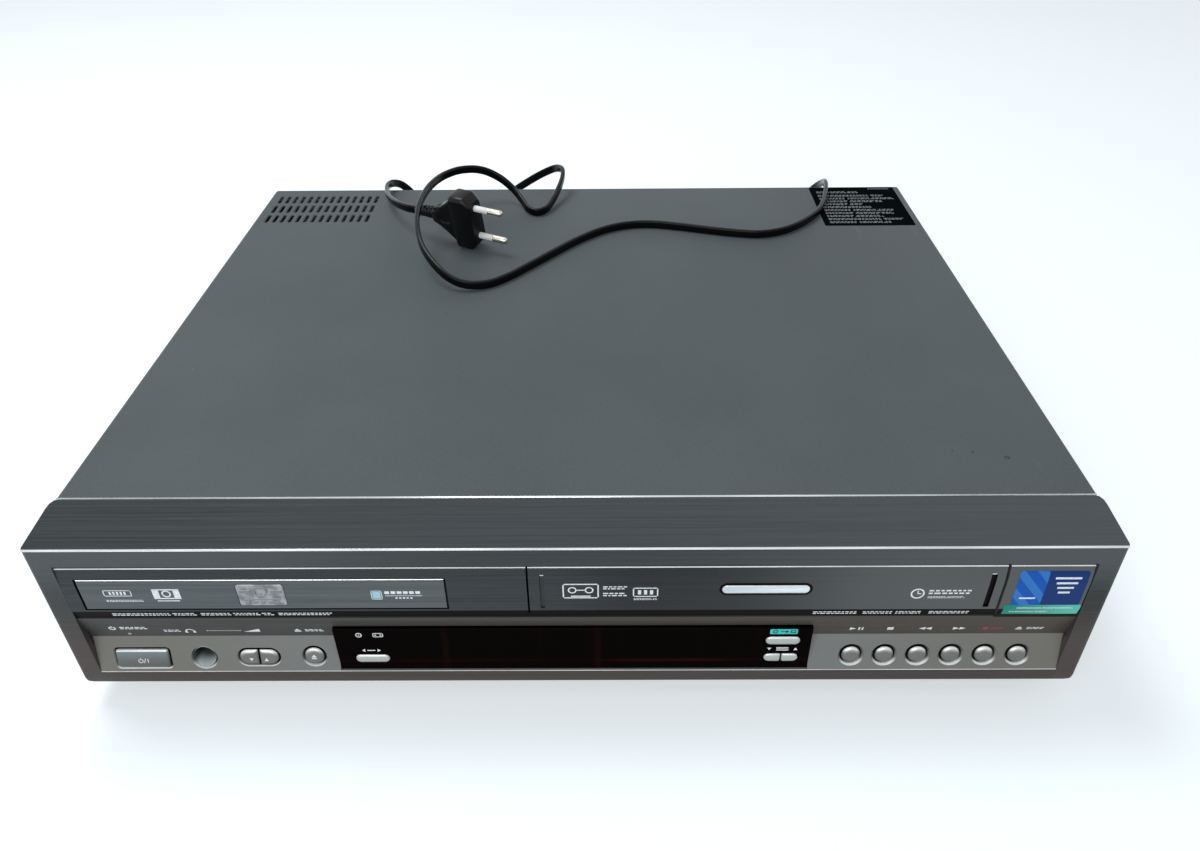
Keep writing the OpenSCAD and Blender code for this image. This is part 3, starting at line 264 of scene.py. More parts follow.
coil_floor, coil_rise = -9.3, 2.85
up_until, down_from = 2.25, 2.5
shift_from, shift_over = 2.2, 0.35
cord_width, cord_thick = 5.2, 3.2


def coil_point(turn):
    """A place in the coil: up round the inner side, then down round the outer, each a width across."""
    climb = min(turn, up_until) - max(turn - down_from, 0)
    shift = min(max((turn - shift_from) / shift_over, 0), 1)
    radius = coil_r + cord_width * 0.52 * (2 * shift - 1)
    angle = -pi / 2 - 2 * pi * turn
    x, y = coil_at[0] + radius * cos(angle), coil_at[1] + radius * sin(angle)
    return (x, y, climb * coil_rise + coil_floor)


def bend_through(points, step):
    """A smooth line through the points, with a point every step."""
    line = []
    last = len(points) - 1
    for i in range(last):
        before, here, there, after = (points[min(max(k, 0), last)] for k in (i - 1, i, i + 1, i + 2))
        count = max(1, round((there - here).length / step))
        for k in range(count):
            t = k / count
            line.append(0.5 * (2 * here + (there - before) * t
                               + (2 * before - 5 * here + 4 * there - after) * t ** 2
                               + (3 * here - before - 3 * there + after) * t ** 3))
    return line + [points[last]]


def loft(name, rings, closed=False, caps=True):
    """A mesh through rings of points, each ring as long as the others."""
    mesh = bpy.data.meshes.new(name)
    n = len(rings[0])
    faces = []
    for i in range(len(rings) if closed else len(rings) - 1):
        a, b = i * n, (i + 1) % len(rings) * n
        faces += [(a + k, a + (k + 1) % n, b + (k + 1) % n, b + k) for k in range(n)]
    if caps and not closed:
        faces += [tuple(reversed(range(n))), tuple(range((len(rings) - 1) * n, len(rings) * n))]
    mesh.from_pydata([p for ring in rings for p in ring], [], faces)
    shape = bmesh.new()
    shape.from_mesh(mesh)
    bmesh.ops.recalc_face_normals(shape, faces=shape.faces)
    shape.to_mesh(mesh)
    shape.free()
    piece = bpy.data.objects.new(name, mesh)
    bpy.context.scene.collection.objects.link(piece)
    return piece


def dress(piece, finish, slot, body, *replaced, smooth=False):
    """Gives a new piece its finish and body, and hides the CAD nodes that it stands for. Its slot is not
    used.
    """
    piece.data.materials.clear()
    piece.data.materials.append(finish.material)
    if smooth:
        piece.data.shade_smooth()
    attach(piece, body)
    if replaced:
        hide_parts(*replaced)
    return piece


vinyl = Finish("flex_vinyl", srgb(8, 9, 11), 0.2, specular=0.12)
vinyl.gloss(900, 0.08, 0.1)
# A painted highlight along the flex's rounded edges, where its surface turns to face up, broken in patches;
# the rest is near black.
painted_shine = vinyl.upward()
painted_shine = painted_shine.rise(0.84, 0.92) * (1 - painted_shine.rise(0.94, 0.985))
vinyl.set("Base Color", (painted_shine * (vinyl.where.noise(140) * 0.8 + 0.1)).blend(srgb(6, 8, 9), srgb(76, 84, 90)))
vinyl.bump(vinyl.where.noise(1600), 0.00004)

turn_steps = 16
coil_points = [coil_point(k / turn_steps) for k in range(1, coil_turns * turn_steps)]
path_step = 2.6 * mm
cord_path = bend_through([spot(*p) for p in cord_lead + coil_points + cord_tail], path_step)
cover_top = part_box("top_cover")[1].z
# The flex stands on edge over the cover and lies flat further down; it turns over twist_run, which
# starts twist_low under the cover's top.
twist_low, twist_run = 22 * mm, 18 * mm
twist_soften = 6


def heading(i):
    """The cord's direction at a point of its path."""
    return (cord_path[min(i + 1, len(cord_path) - 1)] - cord_path[max(i - 1, 0)]).normalized()


flat_way = []
for i, point in enumerate(cord_path):
    along = heading(i)
    level = along.cross(Vector((0, 0, 1))).normalized()
    on_edge = min(max((point.z - cover_top + twist_low) / twist_run, 0), 1)
    way = (level * cos(on_edge * pi / 2) + level.cross(along) * sin(on_edge * pi / 2)).normalized()
    if flat_way and way.dot(flat_way[-1]) < 0:
        way = -way
    flat_way.append(way)
for _ in range(twist_soften):
    flat_way = [(flat_way[max(i - 1, 0)] + flat_way[i] + flat_way[min(i + 1, len(flat_way) - 1)]).normalized()
                for i in range(len(flat_way))]


def around(count):
    """Angles evenly round a circle."""
    return [2 * pi * k / count for k in range(count)]


groove_depth = 0.16


def flex_section():
    """Half sizes of the flex round its edge: two round cores with a shallow groove between."""
    ring = []
    for a in around(20):
        groove = 1 - groove_depth * abs(sin(a)) ** 6
        ring.append(((cord_width - cord_thick) / 2 * max(-1, min(1, 3 * cos(a))) + cord_thick / 2 * cos(a),
                     cord_thick / 2 * sin(a) * groove))
    return ring


cord_rings = []
for i, point in enumerate(cord_path):
    along = heading(i)
    wide = (flat_way[i] - flat_way[i].dot(along) * along).normalized()
    thin = along.cross(wide)
    cord_rings.append([point + u * mm * wide + v * mm * thin for u, v in flex_section()])
cord = dress(loft("mains_flex", cord_rings), vinyl, "cord_black", "case",
             "mains_cord", "mains_cord_end", "mains_cord_coil", smooth=True)

# ---- plug ----
# A flat two-pin plug moulded in black: a thick head with bevelled face, a tapering grip with a dished oval
# on each side, and a ribbed strain relief. The pins are sleeved in white over their inner half.


def arc(at, r, start, end, steps=6):
    """Points round part of a circle, angles in degrees."""
    angles = [radians(start + (end - start) * k / steps) for k in range(steps + 1)]
    return [(at[0] + r * cos(a), at[1] + r * sin(a)) for a in angles]


def rounded(w, h, r, steps=5):
    x, y = w / 2 - r, h / 2 - r
    return (arc((x, y), r, 0, 90, steps) + arc((-x, y), r, 90, 180, steps)
            + arc((-x, -y), r, 180, 270, steps) + arc((x, -y), r, 270, 360, steps))


def gather(name, parts):
    """Joins meshes into one piece, each part keeping its material's number."""
    joined = bmesh.new()
    for part in parts:
        joined.from_mesh(part.data)
        bpy.data.objects.remove(part)
    mesh = bpy.data.meshes.new(name)
    joined.to_mesh(mesh)
    joined.free()
    piece = bpy.data.objects.new(name, mesh)
    bpy.context.scene.collection.objects.link(piece)
    return piece


def settle(piece):
    """Turns a piece's modifiers into mesh."""
    mesh = bpy.data.meshes.new_from_object(piece.evaluated_get(bpy.context.evaluated_depsgraph_get()))
    piece.modifiers.clear()
    piece.data = mesh


def combine(piece, operation, *others):
    for other in others:
        step = piece.modifiers.new("shape", "BOOLEAN")
        step.operation = operation
        step.solver = "EXACT"
        step.object = other
    settle(piece)
    for other in others:
        bpy.data.objects.remove(other)
    return piece


plug_at, plug_turn, plug_lean = (-67.8, 262.5, 99.8), -28.0, 10.0
plug_frame = (Matrix.Translation(spot(*plug_at)) @ Matrix.Rotation(radians(plug_turn), 4, "Z")
              @ Matrix.Rotation(radians(plug_lean), 4, "X"))


def at_plug(x, y, z):
    return plug_frame @ (Vector((x, y, z)) * mm)


def plug_body(name, stations):
    """Rounded rectangles along the plug: each (place, half height, half thickness, corner)."""
    return loft(name, [[at_plug(x, v, u) for u, v in rounded(2 * h, 2 * t, r, 6)] for x, h, t, r in stations])


plug_black = Finish("plug_moulding", srgb(12, 13, 15), 0.38, specular=0.2)
plug_black.tones(90, srgb(9, 10, 12), srgb(17, 18, 20))
plug_black.gloss(1400, 0.12, 0.2)
plug_black.bump(plug_black.where.noise(2400, 2), 0.00004)
pin_white = Finish("pin_sleeve", srgb(232, 232, 228), 0.45)
pin_white.tones(300, srgb(224, 224, 220), srgb(240, 240, 237))
pin_silver = Finish("pin_metal", srgb(206, 203, 190), 0.2, metallic=0.95)
pin_silver.gloss(600, 0.15, 0.12)

head = plug_body("head", [
    (-9.4, 16.4, 5.4, 2.6), (-8.8, 17.2, 6.3, 3), (-7.6, 17.6, 6.8, 3), (0.8, 17.6, 6.8, 3),
    (1.8, 17.1, 6.7, 3), (4.4, 14.5, 6.1, 3), (5.1, 13.6, 5.6, 2.8), (5.2, 13.2, 5.3, 2.6)])
grip = plug_body("grip", [
    (-25.4, 4.3, 4.1, 2.8), (-24.6, 5.0, 4.7, 3), (-20.5, 6.3, 4.9, 2.4), (-16, 9.2, 5.0, 2),
    (-11.5, 13.0, 5.1, 2), (-8.9, 15.2, 5.3, 2)])
for s in (-1, 1):
    dish = [[at_plug(-15.5 + 4.3 * cos(b) * cos(a), s * (5.15 + 0.9 * sin(a)), 3.0 * sin(b) * cos(a))
             for b in around(24)] for a in map(radians, (-80, -50, -20, 0, 20, 50, 80))]
    grip = combine(grip, "DIFFERENCE", loft("dish", dish))
relief_foot, relief_bend, relief_end = at_plug(-24, 0, 0), at_plug(-31, 0, 0), spot(*cord_tail[-1])
relief = []
relief_steps = 28
for k in range(relief_steps + 1):
    t = k / relief_steps
    base = relief_foot * (1 - t) ** 2 + relief_bend * 2 * t * (1 - t) + relief_end * t ** 2
    along = (relief_bend - relief_foot).lerp(relief_end - relief_bend, t).normalized()
    wide = Vector((0, 0, 1)).cross(along).normalized()
    tall = along.cross(wide)
    ridge = 0.45 if (k // 2) % 2 else 0.0
    r_wide, r_tall = (3.9 - 1.4 * t - ridge) * mm, (4.4 - 1.2 * t - ridge) * mm
    relief.append([base + wide * r_wide * cos(b) + tall * r_tall * sin(b) for b in around(20)])
pin_off = 9.3
pin_foot, face_end, sleeve_end = 4.6, 5.25, 14.82
# Each ring is a place along the pin and a radius.
pin_rings = {"sleeve": ((pin_foot, 1.92), (14.7, 1.92), (14.8, 1.85)),
             "pin": ((4.7, 1.7), (14.8, 1.7), (14.85, 1.98), (22.9, 1.98), (23.7, 1.6), (24.2, 0.8))}
plug_parts = [head, grip, loft("relief", relief)]
for s in (-1, 1):
    for name, rings in pin_rings.items():
        plug_parts.append(loft(name, [[at_plug(x, r * cos(b), s * pin_off + r * sin(b)) for b in around(20)]
                                      for x, r in rings]))
plug = dress(gather("two_pin_plug", plug_parts), plug_black, "plug_black", "case", "mains_plug")
plug.data.set_sharp_from_angle(angle=radians(38))

sleeve_number = len(plug.data.materials)
plug.data.materials.append(pin_white.material)
plug.data.materials.append(pin_silver.material)
to_plug = plug_frame.inverted()
for face in plug.data.polygons:
    place = to_plug @ face.center / mm
    radius = hypot(place.y, abs(place.z) - pin_off)
    if place.x > face_end or (place.x > pin_foot and radius < 1.95):
        on_sleeve = place.x < sleeve_end and radius > 1.75
        face.material_index = sleeve_number if on_sleeve else sleeve_number + 1

tie_x, tie_z = coil_at[0] - coil_r, -6.3
half_w, half_h = 6.2 * 0.86, 4.4 * 0.86
tie_rings = []
for a in around(36):
    squeeze = (abs(cos(a)) ** 4 + abs(sin(a)) ** 4) ** 0.25
    middle = spot(tie_x - half_w * cos(a) / squeeze, coil_at[1], tie_z + half_h * sin(a) / squeeze)
    out = (middle - spot(tie_x, coil_at[1], tie_z)).normalized()
    tie_rings.append([middle + out * 0.5 * mm * sin(b) + Vector((0, 3.2 * mm * cos(b), 0))
                      for b in around(10)])
tie = dress(loft("cord_tie", tie_rings, closed=True), vinyl, "cord_black", "case", smooth=True)

# ---- top cover ----
# One sheet of steel folded down over both sides, punched with cooling slots and painted in a fine
# grained grey. Its folded front hem shows as a bright line behind the moulded front.
cover_low, cover_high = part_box("top_cover")
cover_x = cover_high.x / mm
cover_h = (cover_high.z - under_z) / mm
cover_back = (cover_high.y - front_y) / mm
cover_front = (cover_low.y - front_y) / mm
fold_r, sheet = 2.2, 1.0
vent_columns, vent_rows, vent_pitch = 14, 3, 5.0


def along_x(y, z, x):
    return spot(x, y, z)


def along_y(x, z, y):
    return spot(x, y, z)


def oblong(x0, x1, y0, y1):
    return [(x0, y0), (x1, y0), (x1, y1), (x0, y1)]


def raised(place, by):
    return lambda u, v, out: place(u, v, out + by)


def stack(name, shape, place, levels):
    """Rings of shape(grow) set out at each (height, grow): a cap, a cup or the cutter for one."""
    return loft(name, [[place(u, v, out) for u, v in shape(grow)] for out, grow in levels])


def prism(name, outline, low, high, place):
    return loft(name, [[place(u, v, w) for u, v in outline] for w in (low, high)])


def accent(piece, finish, test):
    """A second finish on the faces whose middle and direction pass the test."""
    number = len(piece.data.materials)
    piece.data.materials.append(finish.material)
    for face in piece.data.polygons:
        middle = Vector((face.center.x, face.center.y - front_y, face.center.z - under_z)) / mm
        if test(middle, face.normal):
            face.material_index = number


def on_top(x, y):
    return lambda u, v, out: spot(x + u, y + v, cover_h + out)


def grown(w, h, r, steps=5):
    return lambda g: rounded(w + 2 * g, h + 2 * g, max(r + g, 0.05), steps)


cover_paint = Finish("cover_paint", srgb(88, 97, 99), 0.5, specular=0.08)
grain = cover_paint.where.noise(1500, 2)
cloud = cover_paint.where.noise(9, 3)
# Paler, glossier streaks over the right part of the top.
pale_streak_at = cover_paint.where.stretched(60, 10, 1).noise(1.0, 5, 0.7)
right_side = cover_paint.where.axis("X").rise(0.12, 0.2)
pale_streaks = pale_streak_at.rise(0.6, 0.78) * right_side
specks = 1 - cover_paint.where.cells(95).rise(0.012, 0.03)
shown = (cloud * 0.5 + grain * 0.5).rise(0.3, 0.7).blend(srgb(81, 88, 91), srgb(92, 99, 102))
shown = (pale_streaks * 0.35).blend(shown, srgb(128, 134, 136))
shown = (specks * cover_paint.where.noise(23).rise(0.6, 0.64) * 0.7).blend(shown, srgb(190, 196, 196))
cover_paint.set("Base Color", shown)
cover_paint.set("Roughness", grain * 0.12 + cloud * 0.1 + 0.38 - pale_streaks * 0.1)
cover_paint.bump(grain + cover_paint.where.noise(700, 1) * 0.6, 0.00009)

# Bright polished metal; on the tray door's upper edge and the grooves' tops it stands as a painted highlight.
bright_edge = Finish("bright_edge", srgb(214, 220, 222), 0.22, metallic=0.75)
bright_edge.set("Roughness", bright_edge.where.stretched(3, 300, 300).noise(4) * 0.2 + 0.14)
streaks = bright_edge.where.stretched(12, 200, 200).noise(2).rise(0.3, 0.7)
bright_edge.set("Base Color", streaks.blend(srgb(196, 204, 207), srgb(232, 236, 238)))


def cover_section():
    outer = [(cover_x, 0.5)] + arc((cover_x - fold_r, cover_h - fold_r), fold_r, 0, 90)
    outer += arc((fold_r - cover_x, cover_h - fold_r), fold_r, 90, 180) + [(-cover_x, 0.5)]
    x, r = cover_x - sheet, fold_r - sheet
    inner = [(-x, 0.5)] + arc((r - x, cover_h - sheet - r), r, 180, 90)
    return outer + inner + arc((x - r, cover_h - sheet - r), r, 90, 0) + [(x, 0.5)]


slot_levels = ((1, 0.45), (0.02, 0.45), (-0.12, 0.3), (-0.45, 0.0), (-3, 0.0))
slots = [stack("slot", lambda g: [(v, u) for u, v in grown(11.5, 2, 0.95, 4)(g)],
               on_top(-207 + i * vent_pitch, 340 - row * 15.4), slot_levels)
         for row in range(vent_rows) for i in range(vent_columns)]


def on_side(s, y, z):
    return lambda u, v, out: spot(s * (cover_x + out), y + v, z + u)


slots += [stack("slot", grown(24, 3, 1.4, 4), on_side(s, 230 + i * 10, 55), slot_levels)
          for s in (-1, 1) for i in range(10)]
slots += [stack("slot", grown(3, 3, 1.45, 4), on_side(s, y, 18), slot_levels)
          for s in (-1, 1) for y in (70, 300)]
cover = prism("cover_shell", cover_section(), cover_front, cover_back, along_y)
cover = combine(cover, "DIFFERENCE", gather("slots", slots))
cover_plan = ([(-cover_x - 1, cover_front - 1), (cover_x + 1, cover_front - 1)]
              + arc((cover_x - 3, cover_back - 3), 3, 0, 90) + arc((3 - cover_x, cover_back - 3), 3, 90, 180))
off_sides = 1.00001  # keeps the cutter's corners from lying in the cover's own sides
cover = combine(cover, "INTERSECT", prism("plan", [(x * off_sides, y) for x, y in cover_plan], -1, 90, spot))
half_tab = 8
back_tabs = [prism("tab", oblong(x - half_tab, x + half_tab, cover_h - 10, cover_h - 1.1),
                   cover_back - 1, cover_back, along_y) for x in (-150, 0, 175)]
cover = gather("cover_shell", [cover] + back_tabs)
dress(cover, cover_paint, "cover_steel", "case", "top_cover", smooth=True)
cover.data.set_sharp_from_angle(angle=radians(32))

hem_r = 0.62
hem = prism("cover_hem", arc((cover_front + 0.6, cover_h - 0.25), hem_r, -30, 210, 10), 1.2 - cover_x,
            cover_x - 1.2, along_x)
dress(hem, bright_edge, "bright_steel", "case", smooth=True)

# ---- moulded front ----
# One moulding of silver grey plastic: a brushed top that slopes to a polished lip, a frame round the
# doors, and under its brow a lighter panel that leans back behind the buttons.
case_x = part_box("front_fascia")[1].x / mm
front_d = cover_front - 0.2
lip_x = case_x - 0.1
opening_x, opening_top = 206.5, 70.2
brow_h, slope_top, slope_foot, slope_run = 40.6, 25.5, 7.5, 0.25
slope_up = Vector((0, slope_run, 1)).normalized()
slope_out = Vector((0, -1, slope_run)).normalized()

front_grey = Finish("front_grey", srgb(79, 82, 83), 0.42, specular=0.1)
height = front_grey.where.axis("Z") - under_z
depth = front_grey.where.axis("Y") - front_y
streak = front_grey.where.stretched(5, 900, 900).noise(1.0, 3, 0.6)
fine = front_grey.where.stretched(30, 2600, 2600).noise(1.0, 2)
# Painted shade low on the front: darker and warmer there.
low_painted_shade = 1 - height.rise(0.024, 0.05)
along_front = front_grey.where.axis("X")
side_x = along_front.math("ABSOLUTE", along_front)
inside = 1 - side_x.rise(0.2062, 0.2066)
key_face = height.rise(0.0074, 0.0077) * (1 - height.rise(0.0253, 0.0256)) * inside
top_face = depth.rise(0.0006, 0.0016) * height.rise(0.078, 0.0785)
centre = 1 - side_x.rise(0.02, 0.16)
base = centre.blend(srgb(78, 82, 84), srgb(55, 58, 60))
# Painted shade on the brow's underside.
brow = height.rise(0.0253, 0.0256) * (1 - height.rise(0.0395, 0.0412)) * inside
# Painted shade on the posts, deeper on the right one.
posts = side_x.rise(0.2, 0.2085) * (1 - height.rise(0.05, 0.074))
base = posts.blend(base, along_front.rise(-0.1, 0.1).blend(srgb(58, 59, 60), srgb(42, 41, 39)))
base = low_painted_shade.blend(base, srgb(74, 64, 59))
base = brow.blend(base, along_front.rise(-0.15, 0.1).blend(srgb(60, 56, 54), srgb(70, 60, 50)))
base = key_face.blend(base, side_x.rise(0.1, 0.2).blend(srgb(128, 129, 127), srgb(123, 121, 114)))
# Painted sheen on the sloping top: dark at the left, paler to the right.
base = top_face.blend(base, along_front.rise(-0.2, 0.2).blend(srgb(34, 43, 46), srgb(70, 77, 80)))
streaks = (streak * 0.6 + fine * 0.4).rise(0.25, 0.75)
base = (streaks * (1 - key_face * 0.8) * 0.34).blend(base, srgb(98, 101, 102))
dust = 1 - front_grey.where.cells(170).rise(0.01, 0.03)
base = (dust * front_grey.where.noise(41).rise(0.62, 0.66) * 0.5).blend(base, srgb(196, 200, 200))
front_grey.set("Base Color", base)
front_grey.set("Roughness", streaks * 0.16 + 0.3 + key_face * 0.12)
front_grey.bump(streaks * (1 - key_face * 0.8) + front_grey.where.noise(2200, 1) * 0.25, 0.00003)

# Painted highlight: near-white lines on bevels and edges where the light catches them.
painted_highlight_line = Finish("painted_highlight_line", srgb(232, 235, 235), 0.3, specular=0.5)
painted_highlight_line.set("Base Color", painted_highlight_line.where.stretched(14, 1, 1).noise(1.5).rise(0.3, 0.7).blend(
    srgb(214, 217, 217), srgb(250, 252, 252)))
# Polished silver with painted highlight where it faces up and painted shade where it faces down, in patches
# of plain silver.
rim_silver = Finish("rim_silver", srgb(150, 152, 152), 0.28, specular=0.8)
rim_silver.set("Base Color", (rim_silver.where.noise(160) * 0.16).blend(
    rim_silver.painted_light_by_facing(srgb(26, 26, 26), srgb(112, 113, 112), srgb(252, 253, 253)), srgb(150, 152, 152)))
# Near black: painted shade in gaps and recesses, and dark print and marks.
painted_shade_and_marks = Finish("painted_shade_and_marks", srgb(12, 12, 13), 0.6, specular=0.2)
painted_shade_and_marks.gloss(400, 0.2, 0.5)


def on_slope(x, z):
    middle = spot(x, slope_run * (z - slope_foot), z)
    return lambda u, v, out: middle + (Vector((u, 0, 0)) + v * slope_up + out * slope_out) * mm


def on_front(x, z, y=0.0):
    return lambda u, v, out: spot(x + u, y - out, z + v)


low_section = [(0.5, brow_h), (4.3, 26.4), (4.5, slope_top), (4.3, 24.6), (0.08, 7.78), (0.0, 7.5), (0, 1.6),
               (0.5, 0.5), (1.6, 0), (front_d, 0), (front_d, 2.5), (2.6, 2.5), (2.6, 7.3), (7.1, slope_top),
               (3.1, brow_h)]
post_edge = [(1.6, 0), (0.5, 0.5), (0, 1.6), (0, 78.95)]
lip_seat = [(0.8, 78.95), (0.8, 79.35), (front_d, cover_h)]
top_section = ([(0.4, opening_top), (0, opening_top + 0.4), (0, 78.95)] + lip_seat
               + [(front_d, cover_h - 2.5), (3, 76.7), (3, opening_top)])
sections = {"post": (post_edge + [(3, 78.95), (3, 0)], opening_x),
            "cheek": (post_edge + lip_seat + [(front_d, 0)], case_x - 2.5),
            "shoulder": (top_section, opening_x)}
# What is left of it seen from above, and seen from in front.
edge_r, foot_r = 2.4, 6.5
plan = arc((edge_r - lip_x, edge_r), edge_r, 270, 180)
plan += [(-case_x, 23.5), (0.3 - case_x, 26.3), (1.5 - case_x, front_d)]
plan += [(case_x - 1.5, front_d), (case_x - 0.3, 26.3), (case_x, 23.5)]
plan += arc((lip_x - edge_r, edge_r), edge_r, 0, -90)
outline = (arc((foot_r - case_x, foot_r), foot_r, 270, 180) + [(-case_x, 90), (case_x, 90)]
           + arc((case_x - foot_r, foot_r), foot_r, 0, -90))
body = prism("front_moulding", low_section, -opening_x - 1, opening_x + 1, along_x)
parts = [prism("top_rail", top_section, -opening_x - 1, opening_x + 1, along_x)]
for s in (-1, 1):
    for name, (section, start) in sections.items():
        parts.append(prism(name, section, s * start, s * (case_x + 2), along_x))
body = combine(body, "UNION", *parts)
body = combine(body, "INTERSECT", prism("plan", plan, -1, 90, spot),
               prism("outline", outline, -1, 40, along_y))

window_x, window_z = (-101.9, 99.2), (7.97, 33.3)
av_left = 172.8
power_at, level_at, open_at, phones_at = (-186.8, 14.5), (-136.7, 14.8), (-112.8, 15.2), (-160.4, 14.6)
round_x, round_z, round_pitch = 117.6, 15.0, 14.2
cup_levels = ((3, 1.45), (0.0, 1.45), (-0.12, 1.38), (-0.75, 0.72), (-1.5, 0.6), (-8, 0.6))
cups = [stack("cup", grown(w, h, r, steps), on_slope(*at), levels) for w, h, r, steps, at, levels in (
    (22.8, 9.2, 1.2, 5, power_at, ((3, 0.95), (0, 0.95), (-0.45, 0.55), (-1.1, 0.45), (-8, 0.45))),
    (17.1, 7.7, 3.8, 8, level_at, ((3, 0.95), (0, 0.95), (-0.5, 0.55), (-1.2, 0.45), (-8, 0.45))),
    (8.6, 8.6, 4.25, 8, open_at, ((3, 1.1), (0, 1.1), (-0.6, 0.62), (-1.3, 0.5), (-8, 0.5))),
    (10.2, 10.2, 5.05, 8, phones_at, ((3, 0.65), (0, 0.65), (-0.9, 0.1), (-8, 0.1))))]
cups += [stack("cup", grown(8.2, 8.2, 4.05, 8), on_slope(round_x + i * round_pitch, round_z), cup_levels)
         for i in range(6)]
window_gap = 0.15
window_hole = oblong(window_x[0] - window_gap, window_x[1] + window_gap,
                     window_z[0] - window_gap, window_z[1] + window_gap)
pocket = oblong(-1, 6.5, 39.7, brow_h + 1)
body = combine(body, "DIFFERENCE", gather("cups", cups), prism("hole", window_hole, -2, 9, along_y),
               prism("pocket", pocket, av_left - 0.8, opening_x, along_x))
dress(body, front_grey, "front_plastic", "case", "front_fascia")


def in_cup(middle, normal):
    """On the flared rim round a button."""
    away = (middle.y - slope_run * (middle.z - slope_foot)) / hypot(1, slope_run)
    tilt = normal.dot(slope_out)
    return 8.3 < middle.z < 24 and abs(middle.x) < 205 and 0.05 < away < 1.5 and 0.15 < tilt < 0.97


# Painted highlight and shade on the flared rims round the keys.
accent(body, rim_silver, in_cup)
# A painted highlight along the edge at the foot of the key face.
accent(body, painted_highlight_line, lambda at, way: 7.4 < at.z < 7.9 and at.y < 0.2 and way.y < -0.5
       and abs(at.x) < 206)
# Painted shade on the walls deep inside the holes for the keys.
accent(body, painted_shade_and_marks, lambda at, way: 8.3 < at.z < 24 and abs(at.x) < 205 and at.y > 1.2
       and abs(way.dot(slope_out)) < 0.1 and abs(way.z) < 0.999)
body.data.set_sharp_from_angle(angle=radians(32))

lip = prism("polished_lip", [(0, 79.0), (0, 79.15), (0.12, 79.38), (0.35, 79.5), (0.75, 79.52), (0.8, 79.0)],
            -lip_x + 0.7, lip_x - 0.7, along_x)
dress(lip, bright_edge, "bright_steel", "case")

# ---- doors and panels ----
# The panel round the tray door, the door itself, the flap over the cassette slot and the flap over the
# front sockets: grey mouldings with a painted highlight on the upper edge and a black painted foot.
panel_line = [(0.8, 41.2), (0, 45.3), (0, 60), (0.3, 64), (0.93, 68.42), (1.14, 68.84), (1.75, 69.7)]
foot_z, bright_z = 45.3, 68.43
dvd_x, cassette_x, av_x = (-206.4, -19.1), (-18.3, 171.6), (av_left, 205.9)
tray_x, tray_z = (-199.5, -52.1), (47, 63)
disc_x = -125.8


def brushed_door(name, dark, light, right):
    """Grey moulding brushed along its length, with a painted sheen that pales it towards the right of the
    front and painted shade just right of the middle.
    """
    made = Finish(name, light, 0.36, specular=0.12)
    strokes = made.where.stretched(6, 1, 1100).noise(1.0, 3, 0.6) * 0.6
    strokes = (strokes + made.where.stretched(40, 1, 3200).noise(1.0, 2) * 0.4).rise(0.25, 0.75)
    along = made.where.axis("X")
    # Painted sheen towards the right; painted shade in a band just right of the middle.
    tone = (along.rise(0.02, 0.15) * 0.75).blend(strokes.blend(dark, light), right)
    tone = (along.rise(-0.02, 0.03) * (1 - along.rise(0.05, 0.12)) * 0.6).blend(tone, srgb(36, 38, 40))
    specks = (1 - made.where.cells(190).rise(0.01, 0.025)) * made.where.noise(37).rise(0.62, 0.66)
    made.set("Base Color", (specks * 0.6).blend(tone, srgb(186, 190, 190)))
    made.set("Roughness", strokes * 0.14 + 0.28)
    made.bump(strokes, 0.00002)
    return made


door_grey = brushed_door("door_grey", srgb(48, 51, 54), srgb(66, 69, 71), srgb(98, 101, 100))
tray_grey = brushed_door("tray_grey", srgb(78, 84, 86), srgb(98, 104, 106), srgb(98, 104, 106))

# Black paint on the panels' feet and the badge's bed; on the groove walls it stands as painted shade.
black_paint_and_shade = Finish("black_paint_and_shade", srgb(15, 12, 11), 0.4, specular=0.03)
black_paint_and_shade.gloss(300, 0.15, 0.3)


def plain_ink(name, dark, light):
    made = Finish(name, light, 0.5, specular=0.3)
    made.set("Base Color", made.where.noise(900, 2).rise(0.3, 0.7).blend(dark, light))
    return made


silver_ink = plain_ink("silver_ink", srgb(216, 221, 224), srgb(240, 243, 244))


def panel_face(z):
    """How far back a panel's face is at a height."""
    for (y0, z0), (y1, z1) in zip(panel_line, panel_line[1:]):
        if z < z1:
            break
    return y0 + (y1 - y0) * (z - z0) / (z1 - z0)


def on_panel(x, z):
    return lambda u, v, out: spot(x + u, panel_face(z + v) - out, z + v)


def panel(name, x0, x1, z0, z1, thick, bevel=0.0):
    """Part of the panels' common section, its upper edge bevelled where it has one of its own."""
    front = [(panel_face(z0), z0)] + [p for p in panel_line if z0 < p[1] < z1 - bevel]
    front += [(panel_face(z1 - bevel), z1 - bevel), (panel_face(z1) + bevel * 0.9, z1)]
    return prism(name, front + [(thick, z1), (thick, z0)], x0, x1, along_x)


def bar(x, z, w, h):
    return oblong(x - w / 2, x + w / 2, z - h / 2, z + h / 2)


def bars(x, z, w, h, pitch, count):
    return [bar(x + k * pitch, z, w, h) for k in range(count)]


def hoop(x, z, r, line, start=0, end=359.9, steps=28):
    return arc((x, z), r + line / 2, start, end, steps) + arc((x, z), r - line / 2, end, start, steps)


def frame_of(x, z, w, h, line):
    return [bar(x, z + s * (h - line) / 2, w, line) for s in (-1, 1)] + [
        bar(x + s * (w - line) / 2, z, line, h) for s in (-1, 1)]


def wedge(x, z, w, h, way):
    """A triangle that points along way: (1, 0) is right, (0, 1) up."""
    a, b = way
    return [(x + a * w / 2, z + b * h / 2), (x - a * w / 2 - b * w / 2, z - b * h / 2 + a * h / 2),
            (x - a * w / 2 + b * w / 2, z - b * h / 2 - a * h / 2)]


